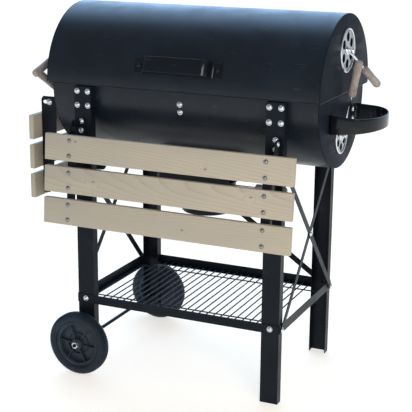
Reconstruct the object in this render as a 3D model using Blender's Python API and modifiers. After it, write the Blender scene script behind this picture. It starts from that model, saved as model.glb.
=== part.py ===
"""Barrel charcoal smoker on a two-wheeled trolley, in metres, +Z up.

X runs along the barrel, -Y is the front, and the floor is z = 0. The pieces are laid out about the middle
of the barrel, and then moved together so that the origin is below the middle of the whole object.
Every sub-part is one named object; the pieces of a moving group hang from an empty on its joint axis.
"""
from math import cos, pi, radians, sin, sqrt

import bmesh
import bpy
from mathutils import Matrix, Vector

# ---------------------------------------------------------------- driving dimensions
FOOTPRINT_MIDDLE = (0.02235, -0.0100)   # middle of the whole object in plan, from the barrel's middle
GAP = 0.0003                    # clearance left between touching pieces
SHEET = 0.0015                  # barrel sheet
PLATE = 0.002                   # frame, rail and bracket plate

LID_RADIUS = 0.203
LID_HALF = 0.391                # half length over the end caps
LID_AXIS_Z = 0.8165
FIREBOX_RADIUS = 0.184
FIREBOX_HALF = 0.383
FIREBOX_AXIS_Z = 0.799
RIM_TOP = 0.8155
RIM_PLATE = 0.002

LEG_X = 0.277
LEG_Y = 0.2095                  # outer face of a leg's web
LEG_WEB = 0.050
LEG_FLANGE = 0.025
LEG_TOP = 0.8115
WHEEL_LEG_FOOT = 0.052          # lower end of the two legs that carry the axle

RAIL_TOP = 0.2235
RAIL_HEIGHT = 0.025
RAIL_LEDGE = 0.022
BRACE_WIDTH = 0.017
BRACE_FOOT_Z = 0.208
BRACE_HEAD_Z = 0.632
REAR_BRACE_HEAD_Z = 0.592
BRACE_Y = 0.197

WHEEL_RADIUS = 0.090
WHEEL_WIDTH = 0.036
WHEEL_X = -0.281
WHEEL_OUTER_Y = 0.266
AXLE_RADIUS = 0.005

SHELF_WIRES = 24
SHELF_WIRE_SPAN = 0.490
WIRE_RADIUS = 0.0019

SLAT_HEIGHT = 0.071
SLAT_GAP = 0.0158
SLAT_THICKNESS = 0.016
FRONT_SLAT_LENGTH = 0.712
FRONT_SHELF_TOP = (-0.275, 0.690)       # (y, z) of the front top edge of the highest slat
FRONT_SHELF_TILT = radians(4.8)
FRONT_ARM_X = 0.281
FRONT_PIVOT = (-0.229, 0.712)           # (y, z)
SIDE_SLAT_LENGTH = 0.400
SIDE_SLAT_HEIGHT = 0.068
SIDE_SLAT_GAP = 0.0155
SIDE_SLAT_THICKNESS = 0.015
SIDE_SLAT_X = -0.441                    # inner face of the hanging side slats
SIDE_SLAT_TOP = 0.717
SIDE_ARM_Y = 0.155
SIDE_PIVOT = (-0.415, 0.750)            # (x, z)

UPPER_DAMPER_Z = 0.925
UPPER_DAMPER_RADIUS = 0.058
LOWER_DAMPER_Z = 0.698
LOWER_DAMPER_RADIUS = 0.047
VENT_HOLES = 6
LEVER_ROD_RADIUS = 0.0023
GRIP_RADIUS = 0.011
GRIP_LENGTH = 0.096

HINGE_HALF = 0.030
HINGE_BOLT_DX = 0.019
FIXED_LEAF_BOLT_Z = 0.792
MOVING_LEAF_BOLT_Z = 0.839
HINGE_Y = 0.2125
HINGE_X = (-0.345, 0.345)
HANDLE_ANGLE = radians(17.5)

POT_RADIUS = 0.090
POT_TOP = 0.545
POT_BOTTOM = 0.452

BOLT_SHANK = 0.0028
BOLT_HOLE = 0.0034
SEAT = -0.0003                  # how far a fixed head or nut sinks into the piece that carries it
RAIL_BOLT_Z = 0.211
FRONT_LUG_BOLT_Z = (0.692, 0.717)
SIDE_LUG_BOLT_Y = 0.143
SIDE_LUG_BOLT_Z = (0.741, 0.759)
LOOP_FOOT_BOLT_Y = 0.090
LOOP_BOLT_Z = (0.733, 0.757)

scene = bpy.context.scene


# ---------------------------------------------------------------- scene and materials
def clear_scene():
    for old in list(bpy.data.objects):
        bpy.data.objects.remove(old, do_unlink=True)


def make_collection(name):
    collection = bpy.data.collections.new(name)
    scene.collection.children.link(collection)
    return collection


def make_material(name, colour, roughness, metallic):
    material = bpy.data.materials.new(name)
    material.use_nodes = True
    shader = material.node_tree.nodes["Principled BSDF"]
    shader.inputs["Base Color"].default_value = (*colour, 1.0)
    shader.inputs["Roughness"].default_value = roughness
    shader.inputs["Metallic"].default_value = metallic
    return material


clear_scene()
parts = make_collection("barrel_smoker")
cutters = make_collection("cutters")

FINISHES = {
    "barrel_paint": ((0.020, 0.025, 0.032), 0.38, 0.0),
    "frame_paint": ((0.014, 0.017, 0.022), 0.45, 0.0),
    "chrome": ((0.72, 0.73, 0.74), 0.12, 1.0),
    "zinc": ((0.62, 0.63, 0.64), 0.32, 1.0),
    "pine": ((0.62, 0.52, 0.38), 0.62, 0.0),
    "grip_wood": ((0.52, 0.40, 0.30), 0.55, 0.0),
    "wheel_plastic": ((0.020, 0.024, 0.032), 0.50, 0.0),
    "wheel_tyre": ((0.015, 0.018, 0.022), 0.75, 0.0),
    "grate_iron": ((0.08, 0.08, 0.085), 0.50, 1.0),
}


# ---------------------------------------------------------------- object helpers
def smooth(mesh, angle=35):
    mesh.shade_smooth()
    mesh.set_sharp_from_angle(angle=radians(angle))


def add_object(name, mesh, finish, matrix=Matrix.Identity(4)):
    """Link a mesh under its node name, with its own material."""
    colour, roughness, metallic = FINISHES[finish]
    mesh.name = name
    mesh.materials.clear()
    mesh.materials.append(make_material(f"{name}_{finish}", colour, roughness, metallic))
    piece = bpy.data.objects.new(name, mesh)
    piece.matrix_world = matrix
    parts.objects.link(piece)
    return piece


def evaluated_mesh(piece):
    """A temporary object's modified mesh; the object itself is removed."""
    bpy.context.view_layer.update()
    graph = bpy.context.evaluated_depsgraph_get()
    mesh = bpy.data.meshes.new_from_object(piece.evaluated_get(graph))
    mesh.transform(piece.matrix_world)
    bpy.data.objects.remove(piece, do_unlink=True)
    return mesh


def weld(mesh, distance=1e-6):
    shape = bmesh.new()
    shape.from_mesh(mesh)
    bmesh.ops.remove_doubles(shape, verts=shape.verts, dist=distance)
    bmesh.ops.recalc_face_normals(shape, faces=shape.faces)
    shape.to_mesh(mesh)
    shape.free()
    return mesh


def temporary(data):
    piece = bpy.data.objects.new("temporary", data)
    parts.objects.link(piece)
    return piece


def box_mesh(low, high):
    """A box between two opposite corners."""
    low, high = Vector(low), Vector(high)
    shape = bmesh.new()
    bmesh.ops.create_cube(shape, size=1.0)
    bmesh.ops.scale(shape, vec=high - low, verts=shape.verts)
    bmesh.ops.translate(shape, vec=(low + high) / 2, verts=shape.verts)
    mesh = bpy.data.meshes.new("box")
    shape.to_mesh(mesh)
    shape.free()
    return mesh


def rod_mesh(start, end, radius, sides=8):
    """A straight round bar between two points."""
    start, end = Vector(start), Vector(end)
    shape = bmesh.new()
    bmesh.ops.create_cone(shape, cap_ends=True, segments=sides, radius1=radius, radius2=radius,
                          depth=(end - start).length)
    turn = (end - start).to_track_quat("Z", "Y").to_matrix().to_4x4()
    bmesh.ops.transform(shape, matrix=Matrix.Translation((start + end) / 2) @ turn, verts=shape.verts)
    mesh = bpy.data.meshes.new("rod")
    shape.to_mesh(mesh)
    shape.free()
    return mesh


def turned_mesh(profile, steps=16, closed=False):
    """Turn an (r, z) profile, listed down its outer side, about Z."""
    mesh = bpy.data.meshes.new("profile")
    points = [(radius, 0.0, height) for radius, height in profile]
    edges = [(i, i + 1) for i in range(len(points) - 1)]
    if closed:
        edges.append((len(points) - 1, 0))
    mesh.from_pydata(points, edges, [])
    piece = temporary(mesh)
    screw = piece.modifiers.new("turn", "SCREW")
    screw.steps = steps
    screw.render_steps = steps
    screw.use_merge_vertices = True
    screw.merge_threshold = 1e-6
    return weld(evaluated_mesh(piece))


def outline_mesh(points, thickness, placing=Matrix.Identity(4)):
    """A flat closed outline in XY, filled and thickened along Z about its own plane."""
    curve = bpy.data.curves.new("outline", "CURVE")
    curve.dimensions = "2D"
    curve.fill_mode = "BOTH"
    curve.extrude = thickness / 2
    spline = curve.splines.new("POLY")
    spline.points.add(len(points) - 1)
    for point, (x, y) in zip(spline.points, points):
        point.co = (x, y, 0.0, 1.0)
    spline.use_cyclic_u = True
    mesh = weld(evaluated_mesh(temporary(curve)))
    mesh.transform(placing)
    return mesh


def sheet_mesh(path, low, high, thickness, offset=1.0):
    """A strip of sheet along an (x, y) path; low and high give its z at each point."""
    shape = bmesh.new()
    bottom = [shape.verts.new((x, y, z)) for (x, y), z in zip(path, low)]
    for first, second in zip(bottom, bottom[1:]):
        shape.edges.new((first, second))
    raised = bmesh.ops.extrude_edge_only(shape, edges=shape.edges[:])["geom"]
    top = [vert for vert in raised if isinstance(vert, bmesh.types.BMVert)]
    for vert in top:
        nearest = min(range(len(path)), key=lambda k: (vert.co.xy - Vector(path[k])).length)
        vert.co.z = high[nearest]
    bmesh.ops.recalc_face_normals(shape, faces=shape.faces)
    mesh = bpy.data.meshes.new("strip")
    shape.to_mesh(mesh)
    shape.free()
    piece = temporary(mesh)
    solid = piece.modifiers.new("thickness", "SOLIDIFY")
    solid.thickness = thickness
    solid.offset = offset
    solid.use_even_offset = True
    return evaluated_mesh(piece)


def tube_mesh(points, radius, sides_resolution=1):
    """A round wire through points, with its ends filled."""
    curve = bpy.data.curves.new("wire", "CURVE")
    curve.dimensions = "3D"
    curve.bevel_depth = radius
    curve.bevel_resolution = sides_resolution
    curve.use_fill_caps = True
    spline = curve.splines.new("POLY")
    spline.points.add(len(points) - 1)
    for point, place in zip(spline.points, points):
        point.co = (*place, 1.0)
    return weld(evaluated_mesh(temporary(curve)))


def join_meshes(meshes):
    """Several separate closed bodies in one mesh."""
    shape = bmesh.new()
    for mesh in meshes:
        shape.from_mesh(mesh)
    joined = bpy.data.meshes.new("joined")
    shape.to_mesh(joined)
    shape.free()
    return joined


def boolean_mesh(mesh, tools, operation):
    """Cut or unite a mesh with each tool mesh in turn."""
    piece = temporary(mesh)
    for tool_mesh in tools:
        tool = bpy.data.objects.new("cutter", tool_mesh)
        tool.hide_render = True
        tool.display_type = "WIRE"
        cutters.objects.link(tool)
        step = piece.modifiers.new("boolean", "BOOLEAN")
        step.operation = operation
        step.solver = "EXACT"
        step.object = tool
    result = evaluated_mesh(piece)
    for tool in list(cutters.objects):
        bpy.data.objects.remove(tool, do_unlink=True)
    return weld(result)


def arc(centre, radius, start, end, steps):
    """Points on an arc, angles in degrees."""
    angles = [radians(start + (end - start) * i / steps) for i in range(steps + 1)]
    return [(centre[0] + radius * cos(a), centre[1] + radius * sin(a)) for a in angles]


def along(direction):
    """Turn +Z to a direction."""
    return Vector(direction).to_track_quat("Z", "Y").to_matrix().to_4x4()


# A plane's own (x, y) axes laid on the world: profile in YZ extruded along X, and in XZ along Y.
YZ_PLANE = Matrix(((0, 0, 1, 0), (1, 0, 0, 0), (0, 1, 0, 0), (0, 0, 0, 1)))
XZ_PLANE = Matrix(((1, 0, 0, 0), (0, 0, -1, 0), (0, 1, 0, 0), (0, 0, 0, 1)))


def group(name, location, members, parent=None):
    """An empty on the joint axis that carries the moving pieces."""
    pivot = bpy.data.objects.new(name, None)
    pivot.empty_display_size = 0.03
    pivot.location = location
    parts.objects.link(pivot)
    place = Matrix.Translation(location)
    if parent is not None:
        pivot.parent = parent
        pivot.matrix_parent_inverse = parent.matrix_world.inverted()
    for member in members:
        member.parent = pivot
        member.matrix_parent_inverse = place.inverted()
    bpy.context.view_layer.update()
    return pivot


# ---------------------------------------------------------------- fasteners
def bolt_mesh(grip_length, shank=BOLT_SHANK, head_gap=GAP, nut_gap=GAP):
    """A domed bolt down -Z: head above z = 0, shank through the stack, nut below it."""
    below = -grip_length - nut_gap
    head, nut = shank + 0.0030, shank + 0.0022
    profile = [(0.0, 0.0035 + head_gap), (head, head_gap), (shank, head_gap), (shank, below),
               (nut, below), (nut, below - 0.0035), (0.0, below - 0.0035)]
    return turned_mesh(profile, steps=6)


def bolts_mesh(places, shank=BOLT_SHANK, head_gap=GAP, nut_gap=GAP):
    """Bolts at each (outer point, outward direction, grip length), as one mesh."""
    bodies = []
    for point, direction, grip_length in places:
        body = bolt_mesh(grip_length, shank, head_gap, nut_gap)
        body.transform(Matrix.Translation(point) @ along(direction))
        bodies.append(body)
    return join_meshes(bodies)


def hole_tools(places, radius=BOLT_HOLE, reach=0.02, sides=6):
    """One mesh of round cutters, each centred on a point along a direction."""
    bodies = []
    for point, direction in places:
        step = Vector(direction).normalized() * reach
        bodies.append(rod_mesh(Vector(point) - step, Vector(point) + step, radius, sides))
    return join_meshes(bodies)


def firebox_wall_y(z, thickness=0.0):
    """Half width of the firebox at a height, over its outside or inside its sheet."""
    radius = FIREBOX_RADIUS - thickness
    if z >= FIREBOX_AXIS_Z:
        return radius
    return sqrt(radius ** 2 - (z - FIREBOX_AXIS_Z) ** 2)


LEG_BOLT_DX = 0.016
LEG_BOLT_Z = (0.7985, 0.7605)
hinge_bolt_x = [x + dx for x in HINGE_X for dx in (-HINGE_BOLT_DX, HINGE_BOLT_DX)]
leg_bolt_points = [(side * LEG_X + dx, face * LEG_Y, z)
                   for side in (-1, 1) for face in (-1, 1)
                   for dx in (-LEG_BOLT_DX, LEG_BOLT_DX) for z in LEG_BOLT_Z]
CENTRE_BOLT_Z = (0.780, 0.760)


# ---------------------------------------------------------------- firebox
def trough_outline(radius, top, steps):
    """Open U in (y, z): straight sides above the axis, a half circle below it."""
    curve = arc((0.0, FIREBOX_AXIS_Z), radius, 180, 360, steps)
    return [(-radius, top)] + curve + [(radius, top)]


def swept_sheet(outline, half_length, thickness):
    """Sheet bent to a (y, z) outline and running along X; the thickness goes inwards."""
    low = [-half_length] * len(outline)
    high = [half_length] * len(outline)
    mesh = sheet_mesh(outline, low, high, thickness, offset=0.0)
    mesh.transform(YZ_PLANE)
    return mesh


ASH_HOLE_RADIUS = 0.052


def build_firebox():
    """Trough, end caps and the flat rim that the lid closes on."""
    top = RIM_TOP - RIM_PLATE - GAP
    middle = FIREBOX_RADIUS - SHEET / 2
    shell = swept_sheet(trough_outline(middle, top, 24), FIREBOX_HALF - PLATE - GAP, SHEET)
    holes = [((x, y * 0.9, z), (0, 1, 0)) for x, y, z in leg_bolt_points]
    holes += [((x, FIREBOX_RADIUS, FIXED_LEAF_BOLT_Z), (0, 1, 0)) for x in hinge_bolt_x]
    ash_hole = rod_mesh((0, 0, 0.58), (0, 0, 0.66), ASH_HOLE_RADIUS, 20)
    shell = boolean_mesh(shell, [hole_tools(holes), ash_hole], "DIFFERENCE")
    centre_bolts = []
    for z in CENTRE_BOLT_Z:
        outer = firebox_wall_y(z)
        centre_bolts.append(((0.0, -outer - 0.0008, z), (0, -1, 0), 0.0028))
    shell = boolean_mesh(shell, [bolts_mesh(centre_bolts, head_gap=-0.0010, nut_gap=-0.0002)], "UNION")
    smooth(shell)
    add_object("firebox_shell", shell, "barrel_paint")

    cap_outline = trough_outline(FIREBOX_RADIUS, top, 28)
    for side, label in ((-1, "left"), (1, "right")):
        placing = Matrix.Translation((side * (FIREBOX_HALF - PLATE / 2), 0, 0)) @ YZ_PLANE
        cap = outline_mesh(cap_outline, PLATE, placing)
        centre = Vector((side * FIREBOX_HALF, 0.0, LOWER_DAMPER_Z))
        if side > 0:
            fixings = [(y, z) for y in (-LOOP_FOOT_BOLT_Y, LOOP_FOOT_BOLT_Y) for z in LOOP_BOLT_Z]
        else:
            fixings = [(y, z) for y in (-SIDE_LUG_BOLT_Y, SIDE_LUG_BOLT_Y) for z in SIDE_LUG_BOLT_Z]
        holes = hole_tools([((side * FIREBOX_HALF, y, z), (1, 0, 0)) for y, z in fixings], reach=0.01)
        cap = boolean_mesh(cap, [vent_tools(centre, LOWER_DAMPER_RADIUS), holes], "DIFFERENCE")
        cap = boolean_mesh(cap, [damper_pivot(centre, side)], "UNION")
        smooth(cap)
        add_object(f"firebox_cap_{label}", cap, "barrel_paint")

    ring = box_mesh((-LID_HALF, -LID_RADIUS, RIM_TOP - RIM_PLATE), (LID_HALF, LID_RADIUS, RIM_TOP))
    inside = box_mesh((-FIREBOX_HALF + 0.006, -FIREBOX_RADIUS + 0.006, 0.80),
                      (FIREBOX_HALF - 0.006, FIREBOX_RADIUS - 0.006, 0.83))
    add_object("firebox_rim", boolean_mesh(ring, [inside], "DIFFERENCE"), "barrel_paint")


# ---------------------------------------------------------------- dampers
def vent_tools(centre, radius):
    """Cutters for a ring of vent holes, along X."""
    pitch = radius * 0.60
    places = []
    for i in range(VENT_HOLES):
        turn = 2 * pi * i / VENT_HOLES
        places.append(((centre.x, centre.y + pitch * sin(turn), centre.z + pitch * cos(turn)), (1, 0, 0)))
    return hole_tools(places, radius=radius * 0.205, sides=8)


def damper_pivot(centre, side):
    """The bolt that a damper turns on, its nut tight against the cap's inside."""
    outer = centre + Vector((side * 0.0062, 0, 0))
    return bolts_mesh([(outer, (side, 0, 0), 0.0062 + PLATE)], nut_gap=SEAT)


def lever_frame(centre, side, lean, turn):
    """Where a lever runs: the point at a distance along it from the damper's centre."""
    outward = side * sin(radians(lean))
    radial = cos(radians(lean))
    return lambda s: Vector((centre.x + outward * s,
                             centre.y + radial * s * sin(radians(turn)),
                             centre.z + radial * s * cos(radians(turn))))


def turned_grip(length):
    """A turned wooden grip along +Z with a bore for its rod."""
    bore = LEVER_ROD_RADIUS + GAP
    wide = GRIP_RADIUS
    return turned_mesh([(bore, length), (wide * 0.80, length), (wide, length - 0.004),
                        (wide * 0.93, length * 0.5), (wide, 0.006), (wide * 0.80, 0.0), (bore, 0.0)],
                       12, closed=True)


def build_damper(label, side, face_x, height, radius, lean, turn, grip_start):
    """A rimmed disc with vent holes and a rod lever, and the lever's turned grip."""
    centre = Vector((side * face_x, 0.0, height))
    to_side = Matrix.Translation(centre) @ along((side, 0, 0))
    rim = 0.0045
    disc = turned_mesh([(0.0, GAP + 0.002), (radius - 0.006, GAP + 0.002), (radius - 0.004, rim),
                        (radius - 0.001, rim), (radius, rim - 0.0012), (radius, GAP), (0.0, GAP)], 20)
    disc.transform(to_side)
    disc = boolean_mesh(disc, [vent_tools(centre, radius)], "DIFFERENCE")
    eye = turned_mesh([(0.0, 0.0060), (0.0080, 0.0060), (0.0080, 0.0018), (0.0, 0.0018)], 8)
    eye.transform(to_side)
    at = lever_frame(Vector((side * (face_x + 0.005), 0.0, height)), side, lean, turn)
    root = at(0.0055)
    root.x = side * (face_x + 0.0040)
    rod = tube_mesh([root, at(0.022), at(grip_start + GRIP_LENGTH - 0.006)], LEVER_ROD_RADIUS)
    body = boolean_mesh(disc, [eye, rod], "UNION")
    pivot_hole = hole_tools([(centre, (1, 0, 0))])
    body = boolean_mesh(body, [pivot_hole], "DIFFERENCE")
    smooth(body)
    damper = add_object(f"damper_{label}", body, "chrome")

    grip_mesh = turned_grip(GRIP_LENGTH)
    grip_mesh.transform(Matrix.Translation(at(grip_start)) @ along(at(1.0) - at(0.0)))
    smooth(grip_mesh)
    grip = add_object(f"grip_{label}", grip_mesh, "grip_wood")
    return [damper, grip]


# ---------------------------------------------------------------- lid
def build_lid():
    """Half-round shell, end caps, strap handle and the upper dampers' pivots."""
    middle = LID_RADIUS - SHEET / 2
    outline = arc((0.0, LID_AXIS_Z), middle, 0, 180, 28)
    shell = swept_sheet(outline, LID_HALF - PLATE - GAP, SHEET)
    foot_n = LID_RADIUS
    handle_bolts = []
    for side in (-1, 1):
        normal = Vector((0, -cos(HANDLE_ANGLE), sin(HANDLE_ANGLE)))
        point = Vector((side * 0.1115, 0, LID_AXIS_Z)) + normal * foot_n
        handle_bolts.append((point, normal))
    leaf_holes = [((x, LID_RADIUS, MOVING_LEAF_BOLT_Z), (0, 1, 0)) for x in hinge_bolt_x]
    shell = boolean_mesh(shell, [hole_tools(handle_bolts + leaf_holes)], "DIFFERENCE")
    smooth(shell)
    pieces = [add_object("lid_shell", shell, "barrel_paint")]

    cap_outline = arc((0.0, LID_AXIS_Z), LID_RADIUS, 0, 180, 32)
    for side, label in ((-1, "left"), (1, "right")):
        placing = Matrix.Translation((side * (LID_HALF - PLATE / 2), 0, 0)) @ YZ_PLANE
        cap = outline_mesh(cap_outline, PLATE, placing)
        centre = Vector((side * LID_HALF, 0.0, UPPER_DAMPER_Z))
        cap = boolean_mesh(cap, [vent_tools(centre, UPPER_DAMPER_RADIUS)], "DIFFERENCE")
        cap = boolean_mesh(cap, [damper_pivot(centre, side)], "UNION")
        smooth(cap)
        pieces.append(add_object(f"lid_cap_{label}", cap, "barrel_paint"))
    pieces.append(build_lid_handle())
    return pieces


def build_lid_handle():
    """A flat strap bent out from the lid on two feet, square to the lid's surface."""
    stand = 0.034
    half = [(0.123, 0.0018), (0.104, 0.0018), (0.0985, 0.0045), (0.090, 0.0240), (0.082, 0.0310),
            (0.066, stand), (0.030, stand + 0.0015)]
    path = [(-x, n) for x, n in half] + [(x, n) for x, n in reversed(half)]
    strap = sheet_mesh(path, [-0.0205] * len(path), [0.0205] * len(path), 0.003, offset=0.0)
    bolts = [((side * 0.1115, 0.0033, 0.0), (0, 1, 0), 0.0033 + SHEET + 2 * GAP) for side in (-1, 1)]
    strap = boolean_mesh(strap, [bolts_mesh(bolts, head_gap=SEAT)], "UNION")
    normal = Vector((0, -cos(HANDLE_ANGLE), sin(HANDLE_ANGLE)))
    tangent = Vector((0, sin(HANDLE_ANGLE), cos(HANDLE_ANGLE)))
    origin = Vector((0, 0, LID_AXIS_Z)) + normal * (LID_RADIUS + GAP)
    frame = Matrix((
        (1, normal.x, tangent.x, origin.x),
        (0, normal.y, tangent.y, origin.y),
        (0, normal.z, tangent.z, origin.z),
        (0, 0, 0, 1)))
    strap.transform(frame)
    weld(strap)
    smooth(strap)
    return add_object("lid_handle", strap, "frame_paint")


# ---------------------------------------------------------------- hinges
def hinge_knuckle(start, end, bore, radius=0.0055):
    """A knuckle along X on the lid's axis, solid where its bore is zero."""
    length = end - start
    if bore > 0:
        profile = [(radius, length), (radius, 0.0), (bore, 0.0), (bore, length)]
        knuckle = turned_mesh(profile, 10, closed=True)
        knuckle.transform(Matrix.Translation((start, HINGE_Y, LID_AXIS_Z)) @ along((1, 0, 0)))
        return knuckle
    return rod_mesh((start, HINGE_Y, LID_AXIS_Z), (end, HINGE_Y, LID_AXIS_Z), radius, 10)


def build_hinges():
    """Two hinges behind the seam: a bracket with its pin on the firebox, and a leaf on the lid."""
    leaves = []
    wall = FIREBOX_RADIUS + GAP
    leaf = LID_RADIUS + GAP
    shelf_top = RIM_TOP - RIM_PLATE - GAP
    for x, label in zip(HINGE_X, ("left", "right")):
        low_x, high_x = x - HINGE_HALF, x + HINGE_HALF
        upright = box_mesh((low_x, wall, 0.778), (high_x, wall + PLATE, shelf_top))
        shelf = box_mesh((low_x, wall, shelf_top - PLATE), (high_x, HINGE_Y + 0.004, shelf_top))
        room = rod_mesh((x - 0.0105, HINGE_Y, LID_AXIS_Z), (x + 0.0105, HINGE_Y, LID_AXIS_Z), 0.0064, 10)
        pin = rod_mesh((low_x - 0.003, HINGE_Y, LID_AXIS_Z), (high_x + 0.003, HINGE_Y, LID_AXIS_Z),
                       0.0026, 10)
        bracket = boolean_mesh(upright, [shelf, hinge_knuckle(low_x, x - 0.0105, 0.0),
                                         hinge_knuckle(x + 0.0105, high_x, 0.0)], "UNION")
        bracket = boolean_mesh(bracket, [room], "DIFFERENCE")
        bolts = [((x + dx, wall + PLATE, FIXED_LEAF_BOLT_Z), (0, 1, 0), PLATE + SHEET + 0.0012)
                 for dx in (-HINGE_BOLT_DX, HINGE_BOLT_DX)]
        bracket = boolean_mesh(bracket, [pin, bolts_mesh(bolts, head_gap=SEAT)], "UNION")
        smooth(bracket)
        add_object(f"hinge_bracket_{label}", bracket, "frame_paint")

        plate = box_mesh((low_x, leaf, LID_AXIS_Z + 0.0065), (high_x, leaf + PLATE, 0.850))
        web = box_mesh((x - 0.010, leaf, LID_AXIS_Z + 0.0035),
                       (x + 0.010, HINGE_Y - 0.0035, LID_AXIS_Z + 0.0085))
        leaf_mesh = boolean_mesh(plate, [web, hinge_knuckle(x - 0.010, x + 0.010, 0.0032)], "UNION")
        bolts = [((x + dx, leaf + PLATE, MOVING_LEAF_BOLT_Z), (0, 1, 0), PLATE + SHEET + 0.0024)
                 for dx in (-HINGE_BOLT_DX, HINGE_BOLT_DX)]
        leaf_mesh = boolean_mesh(leaf_mesh, [bolts_mesh(bolts, head_gap=SEAT)], "UNION")
        smooth(leaf_mesh)
        leaves.append(add_object(f"hinge_leaf_{label}", leaf_mesh, "frame_paint"))
    return leaves


# ---------------------------------------------------------------- trolley frame
def channel_outline(side_y):
    """A leg's C section about its own middle in X; side_y is -1 for a front leg."""
    half = LEG_WEB / 2
    web, lip = side_y * LEG_Y, side_y * (LEG_Y - LEG_FLANGE)
    inner = side_y * (LEG_Y - PLATE)
    return [(-half, web), (half, web), (half, lip), (half - PLATE, lip), (half - PLATE, inner),
            (-half + PLATE, inner), (-half + PLATE, lip), (-half, lip)]


def leg_bolts(side, face):
    """A leg's own bolts: through the firebox, with fixed heads, and through the frame, with fixed nuts."""
    layer = GAP + PLATE
    end_x = LEG_X + LEG_WEB / 2
    through_wall = [((x, y, z), (0, face, 0), LEG_Y - firebox_wall_y(z - 0.005, SHEET) + GAP)
                    for x, y, z in leg_bolt_points if x * side > 0 and y * face > 0]
    layers = 2 if side > 0 and face > 0 else 1
    through_frame = [((side * LEG_X, face * (LEG_Y + layers * layer), RAIL_BOLT_Z), (0, face, 0),
                      layers * layer + PLATE)]
    foot_layers, head_layers = (2, 3) if face < 0 else (3, 2)
    for z, layers in ((BRACE_FOOT_Z, foot_layers), (BRACE_HEAD_Z, head_layers)):
        through_frame.append(((side * (end_x + layers * layer), face * BRACE_Y, z), (side, 0, 0),
                              layers * layer + PLATE))
    if side < 0 and face > 0:
        through_frame.append(((-LEG_X, LEG_Y + 2 * layer, REAR_BRACE_HEAD_Z), (0, 1, 0), 2 * layer + PLATE))
    return [bolts_mesh(through_wall, head_gap=SEAT), bolts_mesh(through_frame, nut_gap=SEAT)]


def build_legs():
    """Four channel legs; the left pair is shorter and carries the axle."""
    for side, side_label in ((-1, "left"), (1, "right")):
        foot = WHEEL_LEG_FOOT if side < 0 else 0.0
        for face, face_label in ((-1, "front"), (1, "rear")):
            middle = Matrix.Translation((side * LEG_X, 0, (foot + LEG_TOP) / 2))
            leg = outline_mesh(channel_outline(face), LEG_TOP - foot, middle)
            tools = []
            if face < 0:
                tools.append(hole_tools([((side * FRONT_ARM_X, -LEG_Y, z), (0, 1, 0))
                                         for z in FRONT_LUG_BOLT_Z], reach=0.008))
            if side < 0:
                tools.append(rod_mesh((WHEEL_X, face * (LEG_Y - 0.008), WHEEL_RADIUS),
                                      (WHEEL_X, face * (LEG_Y + 0.008), WHEEL_RADIUS),
                                      AXLE_RADIUS + 2 * GAP, 12))
            if tools:
                leg = boolean_mesh(leg, tools, "DIFFERENCE")
            leg = boolean_mesh(leg, leg_bolts(side, face), "UNION")
            add_object(f"leg_{face_label}_{side_label}", leg, "frame_paint")


def build_rails():
    """Angle-section rails outside the legs, ledge at the bottom between the legs."""
    low, top = RAIL_TOP - RAIL_HEIGHT, RAIL_TOP
    clear_x = LEG_X - LEG_WEB / 2 - 2 * GAP
    end_x = LEG_X + LEG_WEB / 2
    for face, label in ((-1, "front"), (1, "rear")):
        outer = face * (LEG_Y + GAP + PLATE)
        inner = face * (LEG_Y + GAP)
        upright = box_mesh((-end_x, min(outer, inner), low), (end_x, max(outer, inner), top))
        ledge_y = sorted((outer, outer - face * RAIL_LEDGE))
        ledge = box_mesh((-clear_x, ledge_y[0], low), (clear_x, ledge_y[1], low + PLATE))
        rail = boolean_mesh(upright, [ledge], "UNION")
        holes = [((side * LEG_X, inner, RAIL_BOLT_Z), (0, 1, 0)) for side in (-1, 1)]
        rail = boolean_mesh(rail, [hole_tools(holes)], "DIFFERENCE")
        add_object(f"rail_{label}", rail, "frame_paint")
    clear_y = LEG_Y - LEG_FLANGE - 2 * GAP
    for side, label in ((-1, "left"), (1, "right")):
        outer = side * (end_x + GAP + PLATE)
        inner = side * (end_x + GAP)
        upright = box_mesh((min(outer, inner), -LEG_Y, low), (max(outer, inner), LEG_Y, top))
        ledge_x = sorted((outer, outer - side * RAIL_LEDGE))
        ledge = box_mesh((ledge_x[0], -clear_y, low), (ledge_x[1], clear_y, low + PLATE))
        rail = boolean_mesh(upright, [ledge], "UNION")
        holes = [((inner, y, BRACE_FOOT_Z), (1, 0, 0)) for y in (-BRACE_Y, BRACE_Y)]
        rail = boolean_mesh(rail, [hole_tools(holes)], "DIFFERENCE")
        add_object(f"rail_{label}", rail, "frame_paint")


def flat_bar(start, end, thickness_axis, layer):
    """A flat brace with round ends between two bolt centres, lying in a plane; layer is its inner face."""
    a, b = Vector(start), Vector(end)
    length = (b - a).length
    radius = BRACE_WIDTH / 2
    outline = arc((0, 0), radius, 90, 270, 4) + arc((length, 0), radius, -90, 90, 4)
    bar = outline_mesh(outline, PLATE)
    run = (b - a).normalized()
    normal = Vector(thickness_axis)
    side = normal.cross(run)
    place = Matrix((
        (run.x, side.x, normal.x, a.x),
        (run.y, side.y, normal.y, a.y),
        (run.z, side.z, normal.z, a.z),
        (0, 0, 0, 1)))
    bar.transform(place @ Matrix.Translation((0, 0, layer + PLATE / 2)))
    holes = [(tuple(a + normal * layer), thickness_axis), (tuple(b + normal * layer), thickness_axis)]
    return bar, holes


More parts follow.
